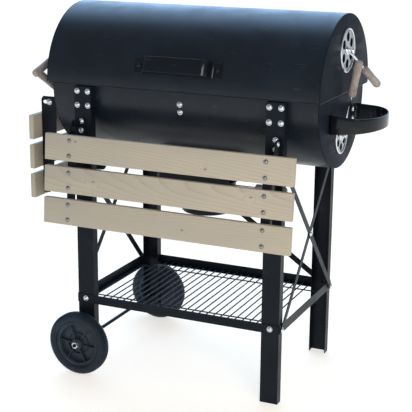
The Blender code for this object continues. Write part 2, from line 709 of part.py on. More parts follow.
def build_braces():
    """A pair of crossed bars on each end, bolted together, and one diagonal across the back."""
    end_x = LEG_X + LEG_WEB / 2
    for side, label in ((-1, "left"), (1, "right")):
        bars = []
        for order, low_y in enumerate((-BRACE_Y, BRACE_Y)):
            layer = 2 * GAP + PLATE + order * (PLATE + GAP)
            start = (side * end_x, low_y, BRACE_FOOT_Z)
            end = (side * end_x, -low_y, BRACE_HEAD_Z)
            bar, holes = flat_bar(start, end, (side, 0, 0), layer)
            bars.append(boolean_mesh(bar, [hole_tools(holes, reach=0.01)], "DIFFERENCE"))
        crossing = (side * (end_x + 3 * (GAP + PLATE)), 0.0, (BRACE_FOOT_Z + BRACE_HEAD_Z) / 2)
        bolt = bolts_mesh([(crossing, (side, 0, 0), GAP + 2 * PLATE)], head_gap=SEAT, nut_gap=SEAT)
        add_object(f"x_brace_{label}", boolean_mesh(bars[0], [bolt, bars[1]], "UNION"), "frame_paint")
    layer = 2 * GAP + PLATE
    bar, holes = flat_bar((LEG_X, LEG_Y, RAIL_BOLT_Z), (-LEG_X, LEG_Y, REAR_BRACE_HEAD_Z), (0, 1, 0), layer)
    add_object("brace_rear", boolean_mesh(bar, [hole_tools(holes, reach=0.01)], "DIFFERENCE"), "frame_paint")


def welded_grid(lower, upper):
    """Two crossing layers of round bars, welded where they touch."""
    return boolean_mesh(join_meshes(lower), [join_meshes(upper)], "UNION")


def build_wire_shelf():
    """Long wires front to back welded to two cross wires that lie on the side rails' ledges."""
    ledge_top = RAIL_TOP - RAIL_HEIGHT + PLATE
    cross_z = ledge_top + GAP + WIRE_RADIUS
    wire_z = cross_z + 1.5 * WIRE_RADIUS
    cross = [rod_mesh((-0.297, y, cross_z), (0.297, y, cross_z), WIRE_RADIUS, 5) for y in (-0.146, 0.146)]
    wires = []
    for i in range(SHELF_WIRES):
        x = -SHELF_WIRE_SPAN / 2 + SHELF_WIRE_SPAN * i / (SHELF_WIRES - 1)
        wires.append(rod_mesh((x, -0.205, wire_z), (x, 0.205, wire_z), WIRE_RADIUS, 5))
    grid = welded_grid(cross, wires)
    smooth(grid)
    add_object("wire_shelf", grid, "frame_paint")


# ---------------------------------------------------------------- wheels
def build_axle():
    """Axle rod through the two left legs, with a nut outside each wheel."""
    reach = WHEEL_OUTER_Y + 0.012
    axle = rod_mesh((WHEEL_X, -reach, WHEEL_RADIUS), (WHEEL_X, reach, WHEEL_RADIUS), AXLE_RADIUS, 12)
    smooth(axle)
    add_object("axle", axle, "frame_paint")
    bore = (AXLE_RADIUS + GAP) / cos(pi / 6)
    for face, label in ((-1, "front"), (1, "rear")):
        nut = turned_mesh([(0.0095, 0.0075), (0.0095, 0.0), (bore, 0.0), (bore, 0.0075)], 6, closed=True)
        nut.transform(Matrix.Translation((WHEEL_X, face * (WHEEL_OUTER_Y + 2 * GAP), WHEEL_RADIUS))
                      @ along((0, face, 0)))
        add_object(f"axle_nut_{label}", nut, "zinc")


def build_wheels():
    """Dished, ribbed plastic hubs with separate tyres; returns the pieces of each wheel."""
    wheels = []
    half = WHEEL_WIDTH / 2
    tread, bead = WHEEL_RADIUS, 0.066
    tyre_profile = [(bead, half - 0.004), (bead + 0.007, half), (tread - 0.008, half - 0.001),
                    (tread, half - 0.008), (tread, -half + 0.008), (tread - 0.008, -half + 0.001),
                    (bead + 0.007, -half), (bead, -half + 0.004)]
    seat = bead - GAP
    boss = WHEEL_OUTER_Y - half - LEG_Y - 2 * GAP
    bore = AXLE_RADIUS + GAP
    hub_profile = [(0.016, half - 0.001), (0.018, half - 0.009), (0.054, half - 0.014),
                   (0.057, half - 0.005), (seat, half - 0.005), (seat, -half + 0.005),
                   (0.057, -half + 0.005), (0.054, -half + 0.014), (0.018, -half + 0.009),
                   (0.0095, -boss), (bore, -boss), (bore, half - 0.001)]
    spokes = 6
    rib_phase = radians(7)
    for face, label in ((-1, "front"), (1, "rear")):
        centre_y = face * (WHEEL_OUTER_Y - half)
        place = Matrix.Translation((WHEEL_X, centre_y, WHEEL_RADIUS)) @ along((0, face, 0))
        tyre = turned_mesh(tyre_profile, 28, closed=True)
        hub = turned_mesh(hub_profile, 28, closed=True)
        ribs = []
        for i in range(spokes):
            rib = box_mesh((0.0150, -0.0015, 0.0), (0.0560, 0.0015, half - 0.0070))
            rib.transform(Matrix.Rotation(2 * pi * i / spokes + rib_phase, 4, "Z"))
            ribs.append(rib)
        hub = boolean_mesh(hub, ribs, "UNION")
        pieces = []
        for kind, mesh, finish in (("tyre", tyre, "wheel_tyre"), ("hub", hub, "wheel_plastic")):
            mesh.transform(place)
            smooth(mesh)
            pieces.append(add_object(f"{kind}_{label}", mesh, finish))
        wheels.append((label, centre_y, pieces))
    return wheels


# ---------------------------------------------------------------- side push handle
LOOP_HALF = 0.106
LOOP_STRAIGHT = 0.440
LOOP_REACH = 0.503


def build_loop_handle():
    """A flat strap bent to a D around the right end, tapering towards its outer bend."""
    face = FIREBOX_HALF + GAP + 0.0016
    half = [(face, LOOP_HALF - 0.028), (face, LOOP_HALF - 0.004), (face + 0.004, LOOP_HALF)]
    bend = [(LOOP_STRAIGHT + (LOOP_REACH - LOOP_STRAIGHT) * sin(a), LOOP_HALF * cos(a))
            for a in (radians(90 * i / 7) for i in range(8))]
    side = half + bend
    path = [(x, -y) for x, y in side] + [(x, y) for x, y in reversed(side[:-1])]
    low, high = [], []
    for x, _ in path:
        share = max(0.0, (x - face) / (LOOP_REACH - face))
        low.append(0.721 + 0.011 * share)
        high.append(0.771 - 0.006 * share)
    strap = sheet_mesh(path, low, high, 0.003, offset=0.0)
    bolts = [((face + 0.0015, side * LOOP_FOOT_BOLT_Y, z), (1, 0, 0), 0.0034 + PLATE)
             for side in (-1, 1) for z in LOOP_BOLT_Z]
    strap = boolean_mesh(strap, [bolts_mesh(bolts, head_gap=SEAT)], "UNION")
    smooth(strap)
    add_object("loop_handle", strap, "frame_paint")


# ---------------------------------------------------------------- grates and ash collector
def build_grates():
    """Charcoal grate low in the trough, and a cooking grate whose bars rest on the rim."""
    rod = 0.003
    coal_z = 0.700
    inner = firebox_wall_y(coal_z, SHEET)
    lower = [rod_mesh((-0.355, y, coal_z), (0.355, y, coal_z), rod, 6) for y in (-0.11, 0.11)]
    upper = []
    for i in range(15):
        x = -0.336 + 0.672 * i / 14
        z = coal_z + 1.5 * rod
        upper.append(rod_mesh((x, -inner + 0.005, z), (x, inner - 0.005, z), rod, 5))
    add_object("charcoal_grate", welded_grid(lower, upper), "grate_iron")

    rod = 0.0025
    bar_z = RIM_TOP + GAP + rod
    lower = [rod_mesh((-0.366, y, bar_z - 1.5 * rod), (0.366, y, bar_z - 1.5 * rod), rod, 6)
             for y in (-0.166, 0.166)]
    upper = []
    for i in range(29):
        x = -0.360 + 0.720 * i / 28
        upper.append(rod_mesh((x, -0.189, bar_z), (x, 0.189, bar_z), rod, 4))
    add_object("cooking_grate", welded_grid(lower, upper), "grate_iron")


RUNNER_HALF = 0.104
RUNNER_SPREAD = 0.0945
RUNNER_Z = POT_TOP - 0.0045


def build_ash_collector():
    """Outlet collar under the trough with two hanging runners, and the pot that slides on them."""
    plate_z = 0.598
    collar = turned_mesh([(0.056, 0.026), (0.056, 0.0), (0.054, 0.0), (0.054, 0.026)], 20, closed=True)
    collar.transform(Matrix.Translation((0, 0, plate_z - 0.0015)))
    plate = box_mesh((-RUNNER_HALF, -RUNNER_SPREAD, plate_z), (RUNNER_HALF, RUNNER_SPREAD, plate_z + PLATE))
    outlet = rod_mesh((0, 0, plate_z - 0.01), (0, 0, plate_z + 0.01), 0.055, 20)
    plate = boolean_mesh(plate, [outlet], "DIFFERENCE")
    runners = []
    for side in (-1, 1):
        outer_y, lip_y = side * RUNNER_SPREAD, side * (RUNNER_SPREAD - 0.014)
        top = FIREBOX_AXIS_Z - sqrt((FIREBOX_RADIUS + 3 * GAP) ** 2 - RUNNER_SPREAD ** 2)
        inner_y = side * (RUNNER_SPREAD - PLATE)
        runners.append(box_mesh((-RUNNER_HALF, min(outer_y, inner_y), RUNNER_Z),
                                (RUNNER_HALF, max(outer_y, inner_y), top - 0.0022)))
        runners.append(box_mesh((-RUNNER_HALF, min(outer_y, lip_y), RUNNER_Z),
                                (RUNNER_HALF, max(outer_y, lip_y), RUNNER_Z + PLATE)))
    trough = rod_mesh((-0.2, 0, FIREBOX_AXIS_Z), (0.2, 0, FIREBOX_AXIS_Z), FIREBOX_RADIUS + GAP, 96)
    chute = boolean_mesh(plate, [collar, *runners], "UNION")
    chute = boolean_mesh(chute, [trough], "DIFFERENCE")
    smooth(chute)
    add_object("ash_chute", chute, "barrel_paint")

    inner = POT_RADIUS - 0.0105
    wall = 0.0015
    bowl = inner * 0.86
    pot = turned_mesh([(POT_RADIUS, POT_TOP), (POT_RADIUS, POT_TOP - 0.0021), (inner, POT_TOP - 0.0021),
                       (inner * 0.985, POT_BOTTOM + 0.030), (inner * 0.93, POT_BOTTOM + 0.012),
                       (bowl, POT_BOTTOM), (0.0, POT_BOTTOM), (0.0, POT_BOTTOM + wall),
                       (bowl - wall, POT_BOTTOM + wall), (inner * 0.93 - wall, POT_BOTTOM + 0.013),
                       (inner * 0.985 - wall, POT_BOTTOM + 0.030), (inner - wall, POT_TOP)], 22, closed=True)
    weld(pot)
    smooth(pot)
    pieces = [add_object("ash_pot", pot, "frame_paint")]
    rod_z = POT_TOP - 0.014
    foot_x = inner + GAP + 0.0004
    rod = tube_mesh([(foot_x, 0, rod_z), (0.235, 0, rod_z)], LEVER_ROD_RADIUS)
    smooth(rod)
    pieces.append(add_object("ash_pot_rod", rod, "chrome"))
    grip = turned_grip(0.090)
    grip.transform(Matrix.Translation((0.146, 0, rod_z)) @ along((1, 0, 0)))
    smooth(grip)
    pieces.append(add_object("ash_pot_grip", grip, "grip_wood"))
    return pieces


# ---------------------------------------------------------------- front shelf
def shelf_down():
    """Unit vectors in (y, z) down the front slats and inwards through their thickness."""
    down = Vector((-sin(FRONT_SHELF_TILT), -cos(FRONT_SHELF_TILT)))
    inward = Vector((cos(FRONT_SHELF_TILT), -sin(FRONT_SHELF_TILT)))
    return down, inward


def shelf_point(along_slats, depth):
    """(y, z) at a distance down the front face and a depth behind it."""
    down, inward = shelf_down()
    point = Vector(FRONT_SHELF_TOP) + down * along_slats + inward * depth
    return point.x, point.y


def build_front_shelf():
    """Three slats bolted to two L-section arms that hinge on lugs on the front legs."""
    _, inward = shelf_down()
    outward = (0.0, -inward.x, -inward.y)
    back = SLAT_THICKNESS + GAP
    pieces, bolts = [], []
    for i in range(3):
        start = i * (SLAT_HEIGHT + SLAT_GAP)
        outline = [shelf_point(start, 0), shelf_point(start + SLAT_HEIGHT, 0),
                   shelf_point(start + SLAT_HEIGHT, SLAT_THICKNESS), shelf_point(start, SLAT_THICKNESS)]
        slat = outline_mesh(outline, FRONT_SLAT_LENGTH, YZ_PLANE)
        places = [((side * FRONT_ARM_X, *shelf_point(start + SLAT_HEIGHT / 2 + offset, 0)), outward)
                  for side in (-1, 1) for offset in (-0.0205, 0.0205)]
        slat = boolean_mesh(slat, [hole_tools(places, reach=0.03)], "DIFFERENCE")
        pieces.append(add_object(f"front_slat_{i + 1}", slat, "pine"))
        bolts += [(point, outward, back + PLATE) for point, _ in places]

    end = 3 * SLAT_HEIGHT + 2 * SLAT_GAP - 0.006
    face = -LEG_Y - GAP
    for side, label in ((-1, "left"), (1, "right")):
        plate_outline = arc(FRONT_PIVOT, 0.0115, -20, 160, 6)
        plate_outline += [shelf_point(0.004, back + 0.0004), shelf_point(end, back + 0.0004),
                          shelf_point(end, back + 0.012), shelf_point(0.110, back + 0.019)]
        place = Matrix.Translation((side * (FRONT_ARM_X + 0.012), 0, 0)) @ YZ_PLANE
        plate = outline_mesh(plate_outline, PLATE, place)
        flange_outline = [shelf_point(0.005, back), shelf_point(end - 0.001, back),
                          shelf_point(end - 0.001, back + PLATE), shelf_point(0.005, back + PLATE)]
        place = Matrix.Translation((side * (FRONT_ARM_X - 0.0002), 0, 0)) @ YZ_PLANE
        flange = outline_mesh(flange_outline, 0.0245, place)
        pin_hole = [((side * 0.293, *FRONT_PIVOT), (1, 0, 0))]
        arm = boolean_mesh(plate, [flange], "UNION")
        arm = boolean_mesh(arm, [hole_tools(pin_hole, reach=0.004)], "DIFFERENCE")
        own = [bolt for bolt in bolts if bolt[0][0] * side > 0]
        arm = boolean_mesh(arm, [bolts_mesh(own, nut_gap=SEAT)], "UNION")
        pieces.append(add_object(f"front_arm_{label}", arm, "frame_paint"))

        base_outline = [(-0.0125, 0.682), (0.0125, 0.682), (0.0125, 0.722), (0.0080, 0.727),
                        (-0.0080, 0.727), (-0.0125, 0.722)]
        place = Matrix.Translation((side * FRONT_ARM_X, face - PLATE / 2, 0)) @ XZ_PLANE
        base = outline_mesh(base_outline, PLATE, place)
        ear_outline = [(face - 0.0004, 0.7235), (face - PLATE, 0.7235)]
        ear_outline += arc(FRONT_PIVOT, 0.0085, 60, 300, 7)
        ear_outline += [(face - PLATE, 0.700), (face - 0.0004, 0.700)]
        place = Matrix.Translation((side * (FRONT_ARM_X + 0.0097), 0, 0)) @ YZ_PLANE
        ear = outline_mesh(ear_outline, PLATE, place)
        lug = boolean_mesh(base, [ear], "UNION")
        to_leg = [((side * FRONT_ARM_X, face - PLATE, z), (0, -1, 0), GAP + 2 * PLATE)
                  for z in FRONT_LUG_BOLT_Z]
        pivot = [((side * (FRONT_ARM_X + 0.013), *FRONT_PIVOT), (side, 0, 0), GAP + 2 * PLATE)]
        lug = boolean_mesh(lug, [bolts_mesh(to_leg, head_gap=SEAT), bolts_mesh(pivot, nut_gap=SEAT)], "UNION")
        add_object(f"front_lug_{label}", lug, "frame_paint")
    return pieces


# ---------------------------------------------------------------- side shelf
SIDE_FLANGE_Y = 0.146
SIDE_PIN_RADIUS = 0.004


def side_slat_top(i):
    return SIDE_SLAT_TOP - i * (SIDE_SLAT_HEIGHT + SIDE_SLAT_GAP)


def build_side_shelf():
    """Three short slats on two tapered arms, hung from lugs on the firebox's left end."""
    outer = SIDE_SLAT_X - SIDE_SLAT_THICKNESS
    pieces, bolts = [], []
    for i in range(3):
        top = side_slat_top(i)
        slat = box_mesh((outer, -SIDE_SLAT_LENGTH / 2, top - SIDE_SLAT_HEIGHT),
                        (SIDE_SLAT_X, SIDE_SLAT_LENGTH / 2, top))
        places = [((outer, side * SIDE_FLANGE_Y, top - SIDE_SLAT_HEIGHT / 2 + dz), (-1, 0, 0))
                  for side in (-1, 1) for dz in (-0.0195, 0.0195)]
        slat = boolean_mesh(slat, [hole_tools(places, reach=0.03)], "DIFFERENCE")
        pieces.append(add_object(f"side_slat_{i + 1}", slat, "pine"))
        bolts += [(*place, SIDE_SLAT_THICKNESS + GAP + PLATE) for place in places]

    pivot_x, pivot_z = SIDE_PIVOT
    back = SIDE_SLAT_X + GAP
    inset = back + 0.0004
    for side, label in ((-1, "front"), (1, "rear")):
        outline = [(inset, 0.490), (back + 0.020, 0.490), (back + 0.0265, 0.500), (back + 0.036, 0.575),
                   (-0.394, 0.660), (-0.394, 0.758), (-0.400, 0.766), (-0.434, 0.766), (inset, 0.758)]
        place = Matrix.Translation((0, side * (SIDE_ARM_Y + PLATE / 2), 0)) @ XZ_PLANE
        plate = outline_mesh(outline, PLATE, place)
        flange_y = sorted((side * 0.135, side * (SIDE_ARM_Y + 0.001)))
        flange = box_mesh((back, flange_y[0], 0.492),
                          (back + PLATE, flange_y[1], SIDE_SLAT_TOP - 0.002))
        slot_outline = (arc((pivot_x, pivot_z), 0.0048, -90, 90, 5)
                        + arc((pivot_x - 0.0150, pivot_z), 0.0048, 90, 270, 5))
        slot = outline_mesh(slot_outline, 0.02, place)
        arm = boolean_mesh(plate, [flange], "UNION")
        arm = boolean_mesh(arm, [slot], "DIFFERENCE")
        own = [bolt for bolt in bolts if bolt[0][1] * side > 0]
        arm = boolean_mesh(arm, [bolts_mesh(own, nut_gap=SEAT)], "UNION")
        pieces.append(add_object(f"side_arm_{label}", arm, "frame_paint"))

        face = -FIREBOX_HALF - GAP
        base_y = sorted((side * 0.1345, side * (SIDE_ARM_Y - 0.0005)))
        base = box_mesh((face - PLATE, base_y[0], 0.733), (face, base_y[1], 0.767))
        ear_outline = ([(face - 0.0005, 0.7335), (face - 0.0005, 0.7665), (pivot_x, 0.7605)]
                       + arc(SIDE_PIVOT, 0.0105, 90, 270, 6)[1:])
        place = Matrix.Translation((0, side * (SIDE_ARM_Y - GAP - PLATE / 2), 0)) @ XZ_PLANE
        ear = outline_mesh(ear_outline, PLATE, place)
        lug = boolean_mesh(base, [ear], "UNION")
        to_cap = [((face - PLATE, side * SIDE_LUG_BOLT_Y, z), (-1, 0, 0), GAP + 2 * PLATE)
                  for z in SIDE_LUG_BOLT_Z]
        pin = [((pivot_x, side * (SIDE_ARM_Y + PLATE), pivot_z), (0, side, 0), GAP + 2 * PLATE)]
        lug = boolean_mesh(lug, [bolts_mesh(to_cap, head_gap=SEAT),
                                 bolts_mesh(pin, shank=SIDE_PIN_RADIUS, nut_gap=SEAT)], "UNION")
        add_object(f"side_lug_{label}", lug, "frame_paint")
    return pieces


# ---------------------------------------------------------------- assembly
build_firebox()
build_loop_handle()
build_legs()
build_rails()
build_braces()
build_wire_shelf()
build_axle()
build_grates()

lid = group("lid", (0, HINGE_Y, LID_AXIS_Z), [*build_lid(), *build_hinges()])
group("front_shelf", (0, *FRONT_PIVOT), build_front_shelf())
group("side_shelf", (SIDE_PIVOT[0], 0, SIDE_PIVOT[1]), build_side_shelf())
group("ash_slide", (0, 0, POT_TOP), build_ash_collector())
for wheel_label, wheel_y, wheel_pieces in build_wheels():
    group(f"wheel_{wheel_label}", (WHEEL_X, wheel_y, WHEEL_RADIUS), wheel_pieces)

DAMPERS = (
    ("upper_right", 1, LID_HALF, UPPER_DAMPER_Z, UPPER_DAMPER_RADIUS, 9.0, 123.0, 0.110, lid),
    ("lower_right", 1, FIREBOX_HALF, LOWER_DAMPER_Z, LOWER_DAMPER_RADIUS, 11.0, -1.4, 0.110, None),
    ("upper_left", -1, LID_HALF, UPPER_DAMPER_Z, UPPER_DAMPER_RADIUS, 12.5, -117.5, 0.117, lid),
    ("lower_left", -1, FIREBOX_HALF, LOWER_DAMPER_Z, LOWER_DAMPER_RADIUS, 17.5, -49.0, 0.110, None),
)
for label, side, face_x, height, radius, lean, turn, grip_start, carrier in DAMPERS:
    damper_pieces = build_damper(label, side, face_x, height, radius, lean, turn, grip_start)
    group(f"{label}_lever", (side * face_x, 0, height), damper_pieces, carrier)

for piece in parts.objects:
    if piece.parent is None:
        piece.location.x -= FOOTPRINT_MIDDLE[0]
        piece.location.y -= FOOTPRINT_MIDDLE[1]
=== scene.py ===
"""Looks of a barrel charcoal smoker on a two-wheeled trolley, in metres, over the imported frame.

Shapes are laid out about the middle of the barrel (X along it, -Y the front, Z up from the floor) and then
moved together to where the frame has the barrel.
"""
from math import cos, pi, radians, sin, sqrt

import bmesh
import bpy
from mathutils import Matrix, Vector


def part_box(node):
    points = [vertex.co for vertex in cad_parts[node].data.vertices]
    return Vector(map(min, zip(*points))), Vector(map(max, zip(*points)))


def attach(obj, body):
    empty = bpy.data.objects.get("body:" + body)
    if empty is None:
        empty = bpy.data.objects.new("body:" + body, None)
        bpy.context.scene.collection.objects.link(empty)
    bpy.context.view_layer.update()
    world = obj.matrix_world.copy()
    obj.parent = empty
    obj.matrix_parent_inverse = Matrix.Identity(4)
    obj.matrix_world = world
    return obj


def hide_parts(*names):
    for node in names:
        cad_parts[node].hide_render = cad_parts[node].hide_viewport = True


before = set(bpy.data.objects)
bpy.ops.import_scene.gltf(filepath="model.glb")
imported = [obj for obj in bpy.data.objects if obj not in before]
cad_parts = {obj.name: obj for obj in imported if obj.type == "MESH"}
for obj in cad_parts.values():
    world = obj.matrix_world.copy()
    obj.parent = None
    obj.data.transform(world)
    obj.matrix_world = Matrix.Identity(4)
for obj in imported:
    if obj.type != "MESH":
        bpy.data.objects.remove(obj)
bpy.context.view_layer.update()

lid_low, lid_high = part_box("lid_shell")
MIDDLE = Vector(((lid_low.x + lid_high.x) / 2, (lid_low.y + lid_high.y) / 2, 0.0))

# ---------------------------------------------------------------- dimensions, as in the frame
GAP = 0.0003
SHEET = 0.0015
PLATE = 0.002
LID_RADIUS, LID_HALF, LID_AXIS_Z = 0.203, 0.391, 0.8165
FIREBOX_RADIUS, FIREBOX_HALF, FIREBOX_AXIS_Z = 0.184, 0.383, 0.799
FIREBOX_TOP = 0.8132
LEG_X, LEG_Y, LEG_WEB = 0.277, 0.2095, 0.050
WHEEL_RADIUS, WHEEL_WIDTH, WHEEL_X, WHEEL_OUTER_Y = 0.090, 0.036, -0.281, 0.266
SLAT_HEIGHT, SLAT_GAP, SLAT_THICKNESS, FRONT_SLAT_LENGTH = 0.071, 0.0158, 0.016, 0.712
FRONT_SHELF_TOP, FRONT_SHELF_TILT, FRONT_ARM_X = (-0.275, 0.690), radians(4.8), 0.281
SIDE_SLAT_TOP, SIDE_SLAT_HEIGHT, SIDE_SLAT_GAP = 0.717, 0.068, 0.0155
SIDE_SLAT_X, SIDE_SLAT_THICKNESS, SIDE_SLAT_LENGTH = -0.441, 0.015, 0.400
HANDLE_ANGLE = radians(17.5)
HINGE_X, HINGE_BOLT_DX = 0.345, 0.019
GRIP_RADIUS, GRIP_LENGTH = 0.011, 0.096
UPPER_VENT, LOWER_VENT = (0.925, 0.058), (0.698, 0.047)     # height and disc radius
POT_RADIUS, POT_TOP, POT_BOTTOM = 0.090, 0.545, 0.452
RAIL_TOP, RAIL_HEIGHT = 0.2235, 0.025
SHELF_WIRES, SHELF_WIRE_SPAN, WIRE_RADIUS = 24, 0.490, 0.0019
CHARCOAL_GRATE_Z, CHARCOAL_BAR_RADIUS = 0.700, 0.003
RIM_TOP, COOKING_BAR_RADIUS = 0.8155, 0.0025
FRONT_PIVOT = (-0.229, 0.712)                   # (y, z)
SIDE_PIVOT, SIDE_PIN_Y = (-0.415, 0.750), 0.157     # (x, z), and the pin's outer end
# bolt places
LEG_BOLT_DX, LEG_BOLT_Z = 0.016, (0.7985, 0.7605)
RAIL_BOLT_Z, BRACE_Y, BRACE_FOOT_Z, BRACE_HEAD_Z, REAR_BRACE_HEAD_Z = 0.211, 0.197, 0.208, 0.632, 0.592
FRONT_LUG_BOLT_Z, SIDE_LUG_BOLT_Y, SIDE_LUG_BOLT_Z = (0.692, 0.717), 0.143, (0.741, 0.759)
LOOP_FOOT_BOLT_Y, LOOP_BOLT_Z, CENTRE_BOLT_Z = 0.090, (0.733, 0.757), (0.780, 0.760)
FIXED_LEAF_BOLT_Z, MOVING_LEAF_BOLT_Z = 0.792, 0.839
DAMPER_BOLT_REACH = 0.0062                      # pivot head's seat, out from the cap
HANDLE_BOLT_X, SLAT_BOLT_DZ, SIDE_SLAT_BOLT_DZ, SIDE_SLAT_BOLT_Y = 0.1115, 0.0205, 0.0195, 0.146
# side, face x, (height, disc radius), lean outwards, turn about X, start of the grip
DAMPERS = {
    "upper_right": (1, LID_HALF, UPPER_VENT, 9.0, 123.0, 0.110),
    "lower_right": (1, FIREBOX_HALF, LOWER_VENT, 11.0, -1.4, 0.110),
    "upper_left": (-1, LID_HALF, UPPER_VENT, 12.5, -117.5, 0.117),
    "lower_left": (-1, FIREBOX_HALF, LOWER_VENT, 17.5, -49.0, 0.110),
}
VENT_HOLES = 6


# ---------------------------------------------------------------- materials
class Finish:
    """A Principled material and short ways to add the procedural nodes that feed it."""

    def __init__(self, name, **constants):
        self.material = bpy.data.materials.new(name)
        self.material.use_nodes = True
        self.tree = self.material.node_tree
        self.shader = self.tree.nodes["Principled BSDF"]
        for socket, value in constants.items():
            self.shader.inputs[socket.replace("_", " ")].default_value = value
        self.place = self.tree.nodes.new("ShaderNodeTexCoord").outputs["Object"]

    def node(self, kind, inputs=(), **settings):
        made = self.tree.nodes.new("ShaderNode" + kind)
        for key, value in settings.items():
            setattr(made, key, value)
        for key, value in dict(inputs).items():
            if isinstance(value, bpy.types.NodeSocket):
                self.tree.links.new(value, made.inputs[key])
            else:
                made.inputs[key].default_value = value
        return made

    def math(self, operation, first, second=0.0):
        return self.node("Math", {0: first, 1: second}, operation=operation).outputs[0]

    def stretched(self, scale, place=None):
        inputs = {"Vector": place or self.place, "Scale": scale}
        return self.node("Mapping", inputs).outputs[0]

    def noise(self, scale, detail=3.0, place=None, distortion=0.0):
        inputs = {"Vector": place or self.place, "Scale": scale, "Detail": detail, "Distortion": distortion}
        return self.node("TexNoise", inputs).outputs[0]

    def fade(self, value, low, high, to_low=0.0, to_high=1.0):
        inputs = {"Value": value, "From Min": low, "From Max": high, "To Min": to_low, "To Max": to_high}
        return self.node("MapRange", inputs, interpolation_type="SMOOTHSTEP").outputs[0]

    def ramp(self, value, stops):
        made = self.node("ValToRGB", {"Fac": value})
        elements = made.color_ramp.elements
        while len(elements) < len(stops):
            elements.new(0.5)
        for element, (position, colour) in zip(elements, stops):
            element.position = position
            element.color = (*colour, 1.0)
        return made.outputs["Color"]

    def mix(self, factor, first, second):
        made = self.node("Mix", data_type="RGBA")
        for index, value in ((0, factor), (6, first), (7, second)):
            if isinstance(value, bpy.types.NodeSocket):
                self.tree.links.new(value, made.inputs[index])
            else:
                made.inputs[index].default_value = value if index == 0 else (*value, 1.0)
        return made.outputs[2]

    def set(self, socket, value):
        self.tree.links.new(value, self.shader.inputs[socket])

    def bump(self, *layers):
        """Stack (height, strength, depth in metres) bumps on the surface."""
        normal = None
        for height, strength, depth in layers:
            inputs = {"Height": height, "Strength": strength, "Distance": depth}
            if normal:
                inputs["Normal"] = normal
            normal = self.node("Bump", inputs).outputs[0]
        self.set("Normal", normal)


def paint(name, dark, light, roughness, gloss, dust=0.5):
    """Black stove paint: faint cloudiness, orange peel, settled dust and a few duller scuffs."""
    finish = Finish(name, Specular_IOR_Level=gloss)
    clouds = finish.noise(7.0, 4.0)
    colour = finish.mix(finish.fade(clouds, 0.35, 0.68), dark, light)
    specks = finish.fade(finish.noise(900.0, 2.0), 0.62, 0.76)
    colour = finish.mix(finish.math("MULTIPLY", specks, 0.10 * dust), colour, (0.30, 0.31, 0.32))
    scratches = finish.noise(9.0, 6.0, finish.stretched((3.0, 40.0, 3.0)))
    scuffs = finish.fade(scratches, 0.60, 0.74)
    finish.set("Base Color", finish.mix(finish.math("MULTIPLY", scuffs, 0.07), colour, (0.16, 0.18, 0.20)))
    patchy = finish.fade(finish.noise(16.0, 5.0), 0.3, 0.7, roughness - 0.05, roughness + 0.06)
    finish.set("Roughness", finish.math("ADD", patchy, finish.math("MULTIPLY", scuffs, 0.10)))
    finish.bump((finish.noise(420.0, 2.0), 0.10, 0.0003), (finish.noise(38.0, 2.0), 0.05, 0.0006))
    return finish.material


def plated(name, colour, roughness, streak=(1.0, 1.0, 1.0)):
    """Zinc or chrome plate: smudged gloss, fine polishing lines and small dull spots."""
    finish = Finish(name, Metallic=1.0)
    smudges = finish.noise(60.0, 5.0)
    spots = finish.fade(finish.noise(420.0, 3.0), 0.62, 0.72)
    dull = tuple(0.62 * part for part in colour)
    shade = finish.mix(finish.fade(smudges, 0.3, 0.75), colour, tuple(0.86 * part for part in colour))
    finish.set("Base Color", finish.mix(finish.math("MULTIPLY", spots, 0.6), shade, dull))
    rough = finish.fade(smudges, 0.35, 0.75, roughness * 0.7, roughness * 1.6)
    finish.set("Roughness", finish.math("ADD", rough, finish.math("MULTIPLY", spots, 0.12)))
    lines = finish.noise(500.0, 2.0, finish.stretched(streak))
    finish.bump((lines, 0.12, 0.0002))
    return finish.material


RING_PITCH = 0.0034
EARLY_WOOD = (0.500, 0.435, 0.335)
MID_WOOD = (0.470, 0.402, 0.300)
LATE_WOOD = (0.370, 0.300, 0.208)
FIBRE_WOOD = (0.560, 0.505, 0.415)
GREY_WOOD = (0.410, 0.375, 0.318)
KNOT_WOOD = (0.200, 0.140, 0.090)
TREE_AXIS_DEPTH, TREE_AXIS_SPREAD = 0.42, 0.030     # how far behind its face a board's tree axis lies


